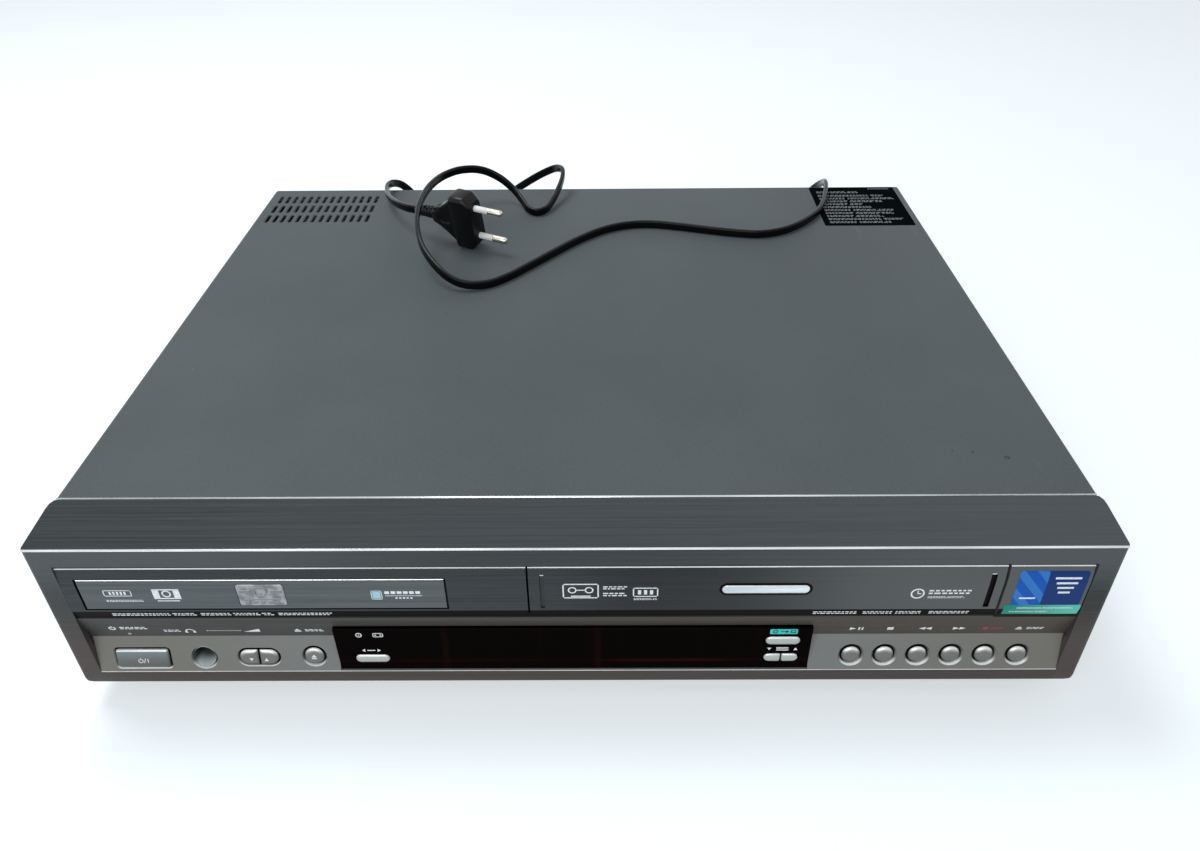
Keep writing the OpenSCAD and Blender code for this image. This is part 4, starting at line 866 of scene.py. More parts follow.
def ruled(x0, x1, z, h, start=0):
    """Two rows of plain dashes with free gaps between them, in groups."""
    marks = []
    for side in (-1, 1):
        x, k = x0, start + side
        while x + h * 0.5 <= x1:
            long = min(h * (0.42, 0.74, 0.5, 0.98, 0.6)[(k * 3 + k // 4) % 5], x1 - x)
            marks.append(bar(x + long / 2, z + side * h * 0.29, long, h * 0.3))
            x += long + h * (0.8 if (x - x0) // (h * 6) != (x + long - x0) // (h * 6) else 0.26)
            k += 1
    return marks


def printed(name, body, place, outlines, finish=silver_ink, slot="white_plastic", proud=0.05):
    """Ink, foil or film lying on a face."""
    piece = gather(name, [prism("ink", outline, -0.04, proud, place) for outline in outlines])
    return dress(piece, finish, slot, body)


def door_edges(piece):
    # A painted highlight on the upper bevel, and black paint on the foot.
    accent(piece, painted_highlight_line, lambda at, way: bright_z < at.z < 68.83 and -0.95 < way.y < -0.3)
    accent(piece, black_paint_and_shade, lambda at, way: at.z < foot_z and way.z < 0.3)
    return piece


dvd_panel = gather("disc_panel", [panel("panel", *dvd_x, 41.2, 69.7, 3.5)])
dvd_panel = combine(dvd_panel, "DIFFERENCE", prism("hole", oblong(-1, 6, 46.2, 63.5), -200.5, -51.3, along_x))
foot_section = [(3.4, 44), (5.5, 44), (5.5, 36), (4.6, 36), (4.2, 41.3), (3.4, 41.3)]
lips = [prism("lip", section, -204, -26, along_x) for section in (oblong(3.4, 4.6, 66, 73), foot_section)]
dvd_panel = dress(gather("disc_panel", [dvd_panel] + lips), door_grey, "panel_plastic", "case", "dvd_panel")
door_edges(dvd_panel)
# Painted shade on the walls of the tray opening.
accent(dvd_panel, painted_shade_and_marks, lambda at, way: 46 < at.z < 64 and abs(way.y) < 0.1
       and -201 < at.x < -51)

tray_door = panel("tray_door_skin", *tray_x, *tray_z, 3, bevel=0.15)
plate_at = (-126.55, 54.7)
plate_bed = prism("bed", grown(19.6, 12.4, 1.2)(0), -0.25, 3, on_front(*plate_at))
tray_door = combine(tray_door, "DIFFERENCE", plate_bed)
lugs = [prism("lug", oblong(2.9, 5, 53, 57), x - 4, x + 4, along_x) for x in (disc_x - 60, disc_x + 60)]
tray_door = gather("tray_door_skin", [tray_door] + lugs)
dress(tray_door, tray_grey, "panel_plastic", "tray", "tray_door")
# Painted highlight along the door's upper edge.
accent(tray_door, bright_edge, lambda at, way: at.z > 62.8 and -0.95 < way.y < -0.3)

flap = panel("cassette_flap", *cassette_x, 41.2, 69.7, 3.2)
groove_section = [(-1, 46.5), (0.8, 46.5), (0.8, 64.8), (-1, 65.8)]
flap = combine(flap, "DIFFERENCE", *(prism("groove", groove_section, x0, x1, along_x)
                                     for x0, x1 in ((-13.8, -12.0), (165.9, 168.2))))
arm_section = [(3.1, 64.5), (3.1, 69.6), (5, 69.8), (7, 69), (7.3, 67.5), (6, 65.5)]
arms = [prism("arm", arm_section, x, x + 3, along_x) for x in (cassette_x[0], cassette_x[1] - 3)]
arms += [prism("pin", arc((5, 67.5), 1.45, 0, 345, 23), x0, x1, along_x)
         for x0, x1 in ((-21.3, -17.3), (170.6, 173.9))]
flap = dress(gather("cassette_flap", [flap] + arms), door_grey, "panel_plastic", "cassette_door",
             "cassette_door")
door_edges(flap)
# Painted highlight on the tops of the grooves.
accent(flap, bright_edge, lambda at, way: 64.7 < at.z < 65.9 and way.z < -0.2)
# Painted shade: black on the groove walls.
accent(flap, black_paint_and_shade, lambda at, way: 46 < at.z < 66 and 0 < at.y < 1 and (
    (abs(way.x) > 0.9 and -14 < at.x < -11.9) or 165.8 < at.x < 168.3))

av_flap = gather("socket_flap", [panel("flap", *av_x, 41.2, 69.7, 3.2),
                                 prism("pin", arc((3, 43.2), 1.15, 0, 345, 23), 172.3, 206.3, along_x)])
av_flap = door_edges(dress(av_flap, door_grey, "panel_plastic", "av_door", "av_door"))

# ---- marks on the doors ----
# Plain pictograms and broken lines in silver ink, a pressed plate on the tray door, a blank polished badge
# on the cassette flap and a coloured film on the socket flap.
tray_marks = frame_of(-184.6, 56.0, 11.4, 3.4, 0.35) + bars(-187.6, 56.0, 0.8, 1.7, 1.5, 5)
tray_marks += ruled(-190.2, -175, 51.7, 1.2) + frame_of(-79.9, 54.5, 4.4, 5.0, 0.3)
tray_marks += bars(-75.6, 55.9, 1.9, 1.5, 2.5, 6) + [bar(-69, 54.1, 15, 0.25)]
tray_marks += bars(-72, 52.8, 0.9, 0.8, 1.5, 5)
printed("tray_ink", "tray", on_front(0, 0), tray_marks)
pale_foil = Finish("pale_foil", srgb(160, 196, 212), 0.4, metallic=0.3)
pale_foil.tones(500, srgb(150, 188, 206), srgb(176, 208, 222))
printed("tray_foil", "tray", on_front(0, 0), [bar(-79.9, 54.5, 3.2, 3.8)], pale_foil, "button_silver")
printed("tray_label", "tray", on_front(-164.85, 54.9),
        [hoop(0, 0.7, 1.6, 0.6)] + [bar(s * 4.2, 0.7, 2.6, 4.4) for s in (-1, 1)]
        + [bar(0, 3.05, 11, 0.6), bar(0, -1.9, 11, 0.6), bar(0, -3.3, 9, 0.5)])

plate_metal = Finish("plate_metal", srgb(150, 152, 154), 0.3, metallic=0.8)
plate_metal.set("Base Color", plate_metal.where.noise(260, 4).rise(0.35, 0.65).blend(
    srgb(118, 120, 123), srgb(160, 162, 164)))
plate_metal.set("Roughness", plate_metal.where.noise(700, 2) * 0.25 + 0.22)
ribs = [bar(0, -2.2, 14.6, 0.6)] + bars(-6.4, 2.1, 4.4, 1.5, 12.8, 2) + bars(-6, -4.0, 1.6, 1.4, 3, 5)
pressed = [prism("rib", hoop(0, 2.1, 2.5, 0.8), 0.1, 0.35, on_front(*plate_at))]
pressed += [prism("rib", rib, 0.1, 0.3, on_front(*plate_at)) for rib in ribs]
plate = stack("plate", grown(19, 11.8, 1.0), on_front(*plate_at), ((-0.26, 0), (0.02, 0), (0.12, -0.12)))
plate = dress(gather("pressed_plate", [plate] + pressed), plate_metal, "button_silver", "tray")
# Painted highlight and shade on the plate's raised edge.
accent(plate, rim_silver, lambda at, way: at.y < -0.12)

flap_marks = frame_of(2.6, 56.4, 14.6, 8.2, 0.55) + [hoop(2.6 + s * 3.4, 56.9, 1.5, 0.55) for s in (-1, 1)]
flap_marks += [bar(2.6, 56.9, 3.6, 0.5), bar(2.6, 53.5, 8, 0.6)]
flap_marks += ruled(11.6, 21.6, 58.2, 1.9) + ruled(11.6, 21.6, 54.4, 2.1)
flap_marks += frame_of(28.7, 55.6, 10.2, 5.2, 0.5) + [bar(28.7 + k * 2.4, 55.6, 1.3, 2.4) for k in (-1, 0, 1)]
flap_marks += ruled(24, 33.8, 51.7, 1.1, 2)
flap_marks += [hoop(138.2, 54.3, 2.5, 0.65), bar(138.2, 55.1, 0.5, 1.7), bar(138.9, 54.3, 1.5, 0.5)]
flap_marks += ruled(142.6, 160.6, 55.2, 2.6, 4) + ruled(142.6, 158, 52.2, 1.1, 1)
printed("flap_ink", "cassette_door", on_front(0, 0), flap_marks)
# Painted highlights at the top ends of the grooves.
printed("groove_ends", "cassette_door", on_front(0, 0, 0.75),
        [bar(-12.9, 64.6, 1.5, 0.5), bar(167.05, 64.6, 1.9, 0.5)], painted_highlight_line)
badge = stack("badge_bed", grown(37.4, 6.6, 3.2, 8), on_front(77, 57.2), ((-0.05, 0), (0.1, 0)))
dress(badge, black_paint_and_shade, "window_gloss", "cassette_door")
badge = stack("badge", grown(35.2, 4.4, 2.1, 8), on_front(77, 57.2),
              ((0, 0), (0.2, 0), (0.38, -0.25), (0.47, -0.8), (0.5, -1.6)))
dress(badge, bright_edge, "button_silver", "cassette_door", smooth=True)

printed("foot_ink_left", "case", on_panel(0, 0),
        ruled(-190.6, -156, 43.2, 1.9) + ruled(-154, -124, 43.2, 1.9, 3) + ruled(-122, -99.8, 43.2, 1.9))
printed("foot_ink_right", "cassette_door", on_panel(0, 0),
        ruled(97.6, 116, 42.9, 1.9) + ruled(118, 143, 42.9, 1.9, 5) + ruled(145, 161.3, 42.9, 1.9))


def film(name, finish, x0, x1, z0, z1, r, proud):
    """A stuck film that follows the panels' section, with rounded corners."""
    bends = {z0, z0 + 0.3 * r, z0 + r, z1 - r, z1 - 0.3 * r, z1}
    heights = sorted(bends | {z for _, z in panel_line if z0 < z < z1})
    rings = []
    for z in heights:
        rest = max(z0 + r - z, z - z1 + r, 0)
        inset = r - (max(r * r - rest * rest, 0)) ** 0.5
        rings.append([spot(x, panel_face(z) - out, z) for x, out in
                      ((x0 + inset, proud), (x1 - inset, proud), (x1 - inset, -0.02), (x0 + inset, -0.02))])
    return dress(loft(name, rings), finish, "button_silver", "av_door")


film_blue = Finish("film_blue", srgb(14, 86, 178), 0.3, specular=0.12)
slant = film_blue.where.axis("X") + film_blue.where.axis("Z") * 0.8
stripes = (slant.math("PINGPONG", slant, 0.0045)).rise(0.0022, 0.0026)
navy = film_blue.where.axis("X").rise(0.1885, 0.1889)
film_tone = navy.blend(srgb(14, 86, 178), srgb(14, 50, 112))
film_tone = (stripes * (1 - navy) * 0.55).blend(film_tone, srgb(70, 138, 208))
film_blue.set("Base Color", film_tone)
film_blue.gloss(300, 0.12, 0.25)
film_green = Finish("film_green", srgb(18, 145, 127), 0.32, specular=0.12)
film_green.set("Base Color", film_green.where.axis("X").rise(0.175, 0.206).blend(
    srgb(16, 138, 120), srgb(92, 192, 172)))
film("flap_film", film_blue, 176.9, 204.6, 47.2, 66.2, 1.2, 0.09)
film("flap_band", film_green, 174.8, 205.7, 41.6, 47.6, 0.3, 0.13)
printed("film_ink", "av_door", raised(on_panel(0, 0), 0.12),
        [bar(196.6, 62.6 - 2.6 * k, 10.4 - 1.9 * k, 1.0) for k in range(4)] + [bar(182.7, 51.6, 6.4, 0.8)]
        + ruled(180, 203, 45.9, 0.8) + ruled(177.5, 193, 43.4, 0.8), proud=0.06)

# ---- display window ----
# Smoked acrylic, nearly black, let into the front flush with the panel's foot, with openings for its keys.
window_y = 0.7
lens = Finish("smoked_lens", srgb(7, 3, 3), 0.08, specular=0.01)
drift = lens.where.stretched(9, 1, 260).noise(1.0, 3, 0.6)
# Painted reflections on the lens: reddish upright streaks, and a red glint along a low band.
painted_reflection_streaks = lens.where.stretched(170, 1, 5).noise(1.0, 4, 0.6)
glint_z, glint_x = lens.where.axis("Z") - under_z, lens.where.axis("X")
painted_glint = glint_z.rise(0.0122, 0.0136) * (1 - glint_z.rise(0.0138, 0.015)) * (drift.rise(0.3, 0.6) * 0.6 + 0.4)
painted_glint = painted_glint * (glint_x.rise(0.01, 0.025) * (1 - glint_x.rise(0.05, 0.07)) * 0.5 + 0.12)
lens_tone = (painted_reflection_streaks.rise(0.56, 0.76) * 0.35).blend(srgb(6, 2, 2), srgb(38, 14, 11))
lens_tone = painted_glint.blend(lens_tone, srgb(74, 12, 12))
lens.set("Base Color", lens_tone)
lens.set("Roughness", painted_reflection_streaks * 0.05 + 0.06)

(wx0, wx1), (wz0, wz1) = window_x, window_z
pane = prism("display_lens", [(window_y + 0.35, wz0), (window_y, wz0 + 0.35), (window_y, wz1 - 0.35),
                              (window_y + 0.35, wz1), (8, wz1), (8, wz0)], wx0, wx1, along_x)
select_at, copy_at, program_at = (-87.3, 15), (87.25, 25.5), (87.25, 14.9)
key_w, key_h = 15.2, 5.4
key_holes = [stack("hole", grown(key_w + 0.35, key_h + 0.7, 2.9, 8), on_front(*at, window_y),
                   ((2, 0.25), (0.0, 0.25), (-0.25, 0), (-9, 0))) for at in (select_at, copy_at, program_at)]
wall = 1.5
hollow = prism("hollow", oblong(window_y + 2, 9, wz0 + wall, wz1 - wall), wx0 + wall, wx1 - wall, along_x)
pane = combine(pane, "DIFFERENCE", gather("holes", key_holes), hollow)
dress(pane, lens, "window_gloss", "case", "display_window")

teal_ink = plain_ink("teal_ink", srgb(42, 186, 181), srgb(60, 206, 199))
on_window = on_front(0, 0, window_y)
label = [(u + 87.1, v + 31.2) for u, v in grown(11.6, 3.0, 0.5, 3)(0)]
printed("window_label", "case", on_window, [label], teal_ink, "window_gloss")
printed("window_arrow", "case", raised(on_window, 0.05),
        [hoop(83.6, 31.2, 0.85, 0.35), bar(87.0, 31.2, 2.4, 0.4), wedge(88.6, 31.2, 1.0, 1.6, (1, 0))]
        + frame_of(91, 31.2, 2.1, 1.5, 0.3), painted_shade_and_marks, "window_gloss")
window_marks = [hoop(-91.3, 29.8, 1.15, 0.4), bar(-91.3, 29.8, 0.5, 0.5)]
window_marks += frame_of(-83.2, 29.8, 4.4, 2.4, 0.35) + bars(-84.3, 29.8, 0.6, 0.6, 2.2, 2)
window_marks += [wedge(-90.6, 20.2, 1.3, 1.9, (-1, 0)), wedge(-84.0, 20.2, 1.3, 1.9, (1, 0))]
window_marks += [bar(-87.3, 20.2, 3.4, 0.5)]
window_marks += [wedge(81.9, 20.4, 1.8, 1.5, (0, -1)), wedge(93.1, 20.4, 1.8, 1.5, (0, 1))]
window_marks += [bar(87.5, 20.4 + 0.8 * k, 5.2, 0.4) for k in (-1, 0, 1)]
printed("window_ink", "case", on_window, window_marks)

# ---- keys ----
# Moulded caps in silver, each with its collar behind the panel and a stem to its switch. Those of the
# leaning panel press square to it, those of the window straight back.


def cap_finish(name, colour, rough, share, faces, wear_over_sheen):
    """Silvered plastic, with painted shade and highlight from its faces' tones (down, level, up) and a share
    of a worn tone in patches.
    """
    made = Finish(name, colour, rough, metallic=0.3)
    made.set("Base Color", (made.where.noise(420, 3) * share).blend(made.painted_light_by_facing(*faces), wear_over_sheen))
    made.gloss(1300, 0.12, 0.24)
    return made


# Painted shade, level tone and painted highlight for faces that look down, level and up.
key_silver = cap_finish("key_silver", srgb(150, 150, 148), 0.26, 0.25,
                        (srgb(30, 30, 29), srgb(108, 107, 103), srgb(252, 252, 250)), srgb(140, 140, 138))
key_pale = cap_finish("key_pale", srgb(206, 208, 205), 0.3, 0.2,
                      (srgb(58, 58, 56), srgb(184, 186, 182), srgb(255, 255, 253)), srgb(190, 190, 188))
# Painted light on the power key: a lighter, bluer top and a darker, warmer foot, with painted highlight and
# shade by facing.
power_grey = Finish("power_grey", srgb(112, 122, 126), 0.34, metallic=0.3)
power_height = power_grey.where.axis("Z") - under_z
power_painted_light = power_height.rise(0.0115, 0.0205).blend(srgb(92, 88, 84), srgb(120, 134, 138))
power_grey.set("Base Color", (power_grey.where.stretched(30, 500, 500).noise(1.0) * 0.3).blend(
    power_grey.painted_light_by_facing(srgb(50, 54, 55), power_painted_light, srgb(246, 250, 250)), srgb(100, 108, 111)))
power_grey.gloss(900, 0.1, 0.28)


def half_pill(w, h, side):
    """Half of a pill cut across its middle, with a free gap there."""
    def outline(g):
        top, near = h / 2 + g, 0.25 - g
        right = [(near + 0.4, -top), *arc((w / 2 - h / 2, 0), top, -90, 90, 14)]
        right += [(near + 0.4, top), (near, top - 0.4), (near, 0.4 - top)]
        return right if side > 0 else [(-u, v) for u, v in reversed(right)]
    return outline


def key(body, shape, place, crown, stem_at=(0, 0), collar=(10.4, 10.4), reach=8.4, back=3.4,
        finish=key_silver):
    """A cap with its collar and stem. Crown lists (height, inset) from the edge to the top."""
    def moved(u, v, out):
        return place(u + stem_at[0], v + stem_at[1], out)

    cap = stack(body + "_cap", shape, place, [(-back, 0)] + [(out, -inset) for out, inset in crown])
    parts = [cap, stack("collar", grown(*collar, 1), moved, ((-back - 1, 0), (0.2 - back, 0))),
             stack("stem", grown(3, 3, 1.5, 6), moved, ((-reach, 0), (-back, 0)))]
    piece = dress(gather(body + "_cap", parts), finish, "button_silver", body, body)
    face_at, face_out = place(0, 0, 0), place(0, 0, 1) - place(0, 0, 0)
    sunk = 0.25 * face_out.dot(face_out)
    # Painted shade on the cap's sides below the face of the panel.
    accent(piece, painted_shade_and_marks, lambda at, way: (spot(*at) - face_at).dot(face_out) < -sunk)
    piece.data.set_sharp_from_angle(angle=radians(40))
    return piece


power_crown = ((-0.3, 0), (0.25, 0.12), (0.6, 0.4), (0.78, 0.9), (0.82, 1.4))
key("power_button", grown(22.8, 9.2, 1.2, 3), on_slope(*power_at), power_crown, collar=(24.8, 11.2),
    finish=power_grey)
pill_crown = ((-0.8, 0), (-0.3, 0.12), (0.15, 0.5), (0.5, 1.15), (0.64, 2.0))
for side, body_name in ((-1, "level_down_button"), (1, "level_up_button")):
    key(body_name, half_pill(17.1, 7.7, side), on_slope(*level_at), pill_crown, (side * 4.6, 0), (7.4, 9.4))
dome = ((-1.0, 0), (-0.45, 0.12), (0.0, 0.5), (0.36, 1.15), (0.56, 2.0), (0.62, 3.0))
key("open_close_button", grown(8.6, 8.6, 4.29, 8), on_slope(*open_at),
    ((-0.8, 0), (-0.3, 0.12), (0.15, 0.5), (0.48, 1.2), (0.6, 2.2)))
transport = ["play_button", "stop_button", "rewind_button", "forward_button", "record_button", "eject_button"]
for i, body_name in enumerate(transport):
    key(body_name, grown(8.2, 8.2, 4.09, 8), on_slope(round_x + i * round_pitch, round_z), dome,
        collar=(10.6, 10.6))
window_crown = ((-0.3, 0), (0.1, 0.12), (0.4, 0.45), (0.56, 0.95), (0.6, 1.5))
for body_name, at in (("select_button", select_at), ("copy_button", copy_at)):
    key(body_name, grown(key_w - 0.6, key_h - 0.8, 2.29, 8), on_front(*at, window_y), window_crown,
        collar=(16.6, 7), reach=11, back=3, finish=key_pale)
for side, body_name in ((-1, "program_down_button"), (1, "program_up_button")):
    key(body_name, half_pill(key_w - 0.6, key_h - 0.8, side), on_front(*program_at, window_y), window_crown,
        (side * 4.2, 0), (7, 7), 11, 3, key_pale)

power_sign = [hoop(-1.1, 0, 0.95, 0.3, 120, 420), bar(-1.1, 0.8, 0.3, 1.2), bar(2.0, 0, 0.3, 2.0),
              [(0.15, -1.1), (0.45, -1.1), (1.15, 1.2), (0.85, 1.2)]]
printed("power_sign", "power_button", raised(on_slope(-186.6, 13.6), 0.82), power_sign)
for side, body_name in ((-1, "level_down_button"), (1, "level_up_button")):
    printed("level_sign", body_name, raised(on_slope(level_at[0] + side * 3.2, level_at[1] - 0.9), 0.62),
            [wedge(0, 0, 1.9, 1.5, (0, side))])
printed("open_sign", "open_close_button", raised(on_slope(*open_at), 0.6),
        [wedge(0, 0.45, 2.2, 1.4, (0, 1)), bar(0, -0.85, 2.2, 0.5)])

# ---- signs over the keys ----
# Pictograms in silver ink on the underside of the brow, above the keys that they belong to.
brow_foot, brow_edge = (4.3, 26.4), (0.5, 40.6)
brow_up = Vector((0, brow_edge[0] - brow_foot[0], brow_edge[1] - brow_foot[1])).normalized()
brow_out = Vector((0, -brow_up.z, brow_up.y))


def on_brow(x, z):
    back = brow_foot[0] + (brow_edge[0] - brow_foot[0]) * (z - brow_foot[1]) / (brow_edge[1] - brow_foot[1])
    return lambda u, v, out: spot(x + u, back, z) + (v * brow_up + out * brow_out) * mm


sign_z = 30.0
signs = [hoop(-195.2, 2.4, 1.2, 0.55, 120, 420), bar(-195.2, 3.4, 0.5, 1.6)] + ruled(-192.0, -180.6, 2.5, 2.1)
signs += [hoop(-163.2, -0.5, 1.7, 0.55, 0, 180, 12), bar(-164.9, -1.0, 1.0, 1.6), bar(-161.5, -1.0, 1.0, 1.6)]
signs += ruled(-174.2, -167, 0, 1.9, 4)
signs += bars(-155.8, 0, 0.5, 0.6, 1.15, 13) + [[(-140.4, -1.1), (-133.6, -1.1), (-133.6, 1.4)]]
signs += [wedge(-117.6, 0.6, 2.8, 1.7, (0, 1)), bar(-117.6, -0.95, 2.8, 0.6)] + ruled(-114.4, -106, 0, 1.9, 2)
signs += [wedge(116.6, 0, 2.6, 2.4, (1, 0)), bar(132.3, 0, 2.6, 2.2)] + bars(119.2, 0, 0.7, 2.3, 1.4, 2)
signs += [wedge(x + 2.7 * k, 0, 2.6, 2.4, (s, 0)) for x, s in ((145.6, -1), (159.9, 1)) for k in (0, 1)]
signs += [wedge(186.2, 0.5, 2.8, 1.6, (0, 1)), bar(186.2, -0.95, 2.8, 0.5)] + ruled(189.4, 196.4, 0, 1.8)
printed("brow_ink", "case", on_brow(0, sign_z), signs)
red_ink = plain_ink("red_ink", srgb(150, 50, 44), srgb(172, 64, 54))
printed("record_ink", "case", on_brow(0, sign_z),
        [arc((172.2, 0), 1.2, 0, 345, 23)] + ruled(174.4, 180, 0, 1.8), red_ink)
lamp_lens = Finish("lamp_lens", srgb(150, 128, 122), 0.2, coat=0.4)
lamp_lens.tones(900, srgb(140, 116, 110), srgb(164, 142, 136))
lamp_levels = ((-0.5, 0), (0.15, 0), (0.35, -0.3), (0.4, -0.6))
standby = stack("standby_lamp", grown(1.7, 1.7, 0.84, 6), on_brow(-189.6, 27.6), lamp_levels)
dress(standby, lamp_lens, "window_gloss", "case", smooth=True)

# ---- headphone socket ----
# A nickelled sleeve in a black body behind the front.
nickel = Finish("socket_nickel", srgb(120, 134, 140), 0.34, metallic=0.2)
# Painted highlight and shade by facing, and painted shade deeper in the sleeve.
painted_nickel_sheen = nickel.painted_light_by_facing(srgb(14, 17, 19), srgb(70, 82, 87), srgb(226, 236, 238))
painted_depth_shade = (nickel.where.axis("Y") - front_y).rise(0.0026, 0.0082)
wear_over_sheen = (nickel.where.noise(200) * 0.2).blend(painted_nickel_sheen, srgb(110, 124, 130))
nickel.set("Base Color", (painted_depth_shade * 0.92).blend(wear_over_sheen, srgb(22, 26, 29)))
socket_black = Finish("socket_black", srgb(24, 24, 25), 0.5, specular=0.2)
socket_black.tones(150, srgb(20, 20, 21), srgb(30, 30, 31))
px, pz = phones_at
mouth_y, mouth_d = 2.4, 5


def sleeve_ring(y, r):
    """A ring of the sleeve: its mouth leans with the panel, and it stands upright further in."""
    lean = max(0.0, 1 - (y - mouth_y) / mouth_d) * slope_run * r
    return [spot(px + r * cos(a), y + lean * sin(a), pz + r * sin(a)) for a in around(36)]


sleeve = [sleeve_ring(y, r) for y, r in (
    (28, 5.0), (2.5, 5.0), (2.4, 4.85), (2.7, 4.7), (4.4, 4.6), (6.6, 4.25), (8.6, 3.7), (9.6, 3.3),
    (24, 3.25))]
block = prism("block", oblong(px - 6.5, px + 6.5, pz - 5.5, pz + 6.5), 8.5, 28, along_y)
block = combine(block, "DIFFERENCE", prism("bore", arc((px, pz), 5.0, 0, 350, 35), 8, 29, along_y))
socket = gather("phones_socket", [loft("sleeve", sleeve), block])
dress(socket, socket_black, "black_plastic", "case", "phones_jack")
accent(socket, nickel, lambda at, way: at.y < 10 and hypot(at.x - px, at.z - pz) < 4.95)
socket.data.set_sharp_from_angle(angle=radians(40))

# ---- film on the cover ----
# A black film with plain ruled lines at the cover's back corner, and small marks of wear.
rear_film = Finish("rear_film", srgb(14, 18, 21), 0.35, specular=0.0)
rear_film.tones(60, srgb(7, 11, 13), srgb(14, 19, 22))
film_levels = ((-0.02, 0), (0.07, 0), (0.09, -0.05))
corner = stack("rear_film", grown(57.6, 62.4, 1.5, 4), on_top(181.8, 323.9), film_levels)
dress(corner, rear_film, "window_gloss", "case")
film_lines = ruled(157, 186, 346.5, 3.0, 2) + ruled(193, 208, 352.2, 1.5)
line_ends = (201, 207.5, 198, 184, 189.5, 203.5, 201.5, 194, 205, 196)
for k, stop in enumerate(line_ends):
    film_lines += ruled(157, stop, 340.6 - 4.75 * k, 2.7, k * 5)
grey_ink = plain_ink("grey_ink", srgb(112, 118, 121), srgb(144, 150, 153))
printed("rear_lines", "case", raised(on_top(0, 0), 0.09), film_lines, grey_ink)
printed("cover_marks", "case", on_top(0, 0),
        [hoop(186, 54, 0.9, 0.35), arc((172.5, 58), 0.45, 0, 330, 9), arc((164, 59), 0.3, 0, 330, 9)],
        painted_shade_and_marks, "black_plastic", 0.015)


# ---- chassis, feet and screws ----
# A pan and a rear wall of galvanised sheet, folded and punched. Four moulded feet are screwed up into the
# pan, and zinc plated screws and posts hold the cover, the boards and both mechanisms.
def wear(finish, *names):
    """Gives pieces that keep their construction shape their material, and returns the last of them."""
    for name in names:
        nodes[name].data.materials.clear()
        nodes[name].data.materials.append(finish.material)
    return nodes[names[-1]]


def plain_stuff(name, dark, light, scale, rough, metallic=0.0, specular=0.3, grain=0.0):
    """A stuff with one tone that drifts a little, as its gloss does."""
    made = Finish(name, light, rough, metallic=metallic, specular=specular)
    made.set("Base Color", made.where.noise(scale, 3).rise(0.3, 0.7).blend(dark, light))
    made.set("Roughness", made.where.noise(scale * 5, 2) * 0.16 + (rough - 0.08))
    if grain:
        made.bump(made.where.noise(1700, 2), grain)
    return made


def sheet_steel(name, dark, light, spangle_scale, rough):
    """Zinc coated sheet: crystals of different tone, each a little smoother or rougher."""
    made = Finish(name, light, rough, metallic=0.75)
    crystal = made.where.cells(spangle_scale, "Color").axis("X")
    made.set("Base Color", (crystal * 0.7 + made.where.noise(14, 3) * 0.4).blend(dark, light))
    made.set("Roughness", crystal * 0.14 + rough)
    return made


def across_of(x, z):
    """Distance in mm from an axis that runs front to back."""
    return lambda middle: hypot(middle.x - x, middle.z - z)


zinc_sheet = sheet_steel("zinc_sheet", srgb(142, 146, 148), srgb(160, 164, 166), 260, 0.36)
deck_sheet = sheet_steel("deck_sheet", srgb(142, 146, 149), srgb(162, 166, 169), 420, 0.38)
screw_zinc = plain_stuff("screw_zinc", srgb(142, 145, 146), srgb(184, 186, 184), 500, 0.32, metallic=0.85)
foot_rubber = plain_stuff("foot_rubber", srgb(26, 26, 27), srgb(38, 38, 39), 120, 0.7, specular=0.2,
                          grain=0.00006)
black_moulding = plain_stuff("black_moulding", srgb(22, 22, 24), srgb(34, 34, 36), 90, 0.46, specular=0.25,
                             grain=0.00003)
ivory_moulding = plain_stuff("ivory_moulding", srgb(196, 190, 176), srgb(222, 217, 203), 60, 0.42,
                             grain=0.00002)
bright_nickel = plain_stuff("bright_nickel", srgb(178, 180, 178), srgb(206, 206, 202), 300, 0.2, metallic=0.9)
wear(zinc_sheet, "bottom_chassis", "rear_panel")
wear(screw_zinc, "fasteners")
# A black felt strip along the top of the rear wall, which also stands as painted shade seen through the
# cover's vents.
vent_shade_felt = plain_stuff("felt_strip", srgb(16, 16, 16), srgb(24, 24, 24), 500, 0.9, specular=0.1)
accent(nodes["rear_panel"], vent_shade_felt, lambda at, way: at.z > cover_h - 2.5 and way.z > 0.9)
foot_pads = wear(foot_rubber, "feet")
accent(foot_pads, black_moulding, lambda at, way: at.z > -9 and abs(way.z) < 0.9)

panel_back = 354.8


def on_back(x, z):
    return lambda u, v, out: spot(x - u, panel_back + out, z + v)


rear_marks = []
for x in (-176, -120):
    rear_marks += frame_of(-x, 42, 45, 4.4, 0.5) + [bar(-x, 42, 30, 0.8)]
rear_marks += [hoop(-x, z, 6.4, 0.5) for x in (-76, -62, -48) for z in (18, 32)]
rear_marks += [hoop(-x, 24, 7.2, 0.5) for x in (20, 44)]
printed("rear_ink", "case", on_back(0, 0), rear_marks)

# ---- front sockets and key board ----
# A plate behind the small flap carries three phono sockets, told apart by the colour of their liners. The
# upright board behind the front holds the key switches and the display tube.
phono_colours = [plain_stuff(f"liner_{tone}", dark, light, 400, 0.4) for tone, dark, light in (
    ("yellow", srgb(196, 164, 34), srgb(220, 188, 52)), ("white", srgb(212, 210, 202), srgb(232, 230, 224)),
    ("red", srgb(158, 34, 30), srgb(184, 48, 42)))]
front_sockets = wear(black_moulding, "av_jacks")
for x, liner in zip((179.2, 189.4, 199.6), phono_colours):
    away = across_of(x, 55)
    accent(front_sockets, bright_nickel, lambda at, way: at.y < 12 and away(at) < 4.2)
    accent(front_sockets, liner, lambda at, way: at.y < 13 and away(at) < 3.3)


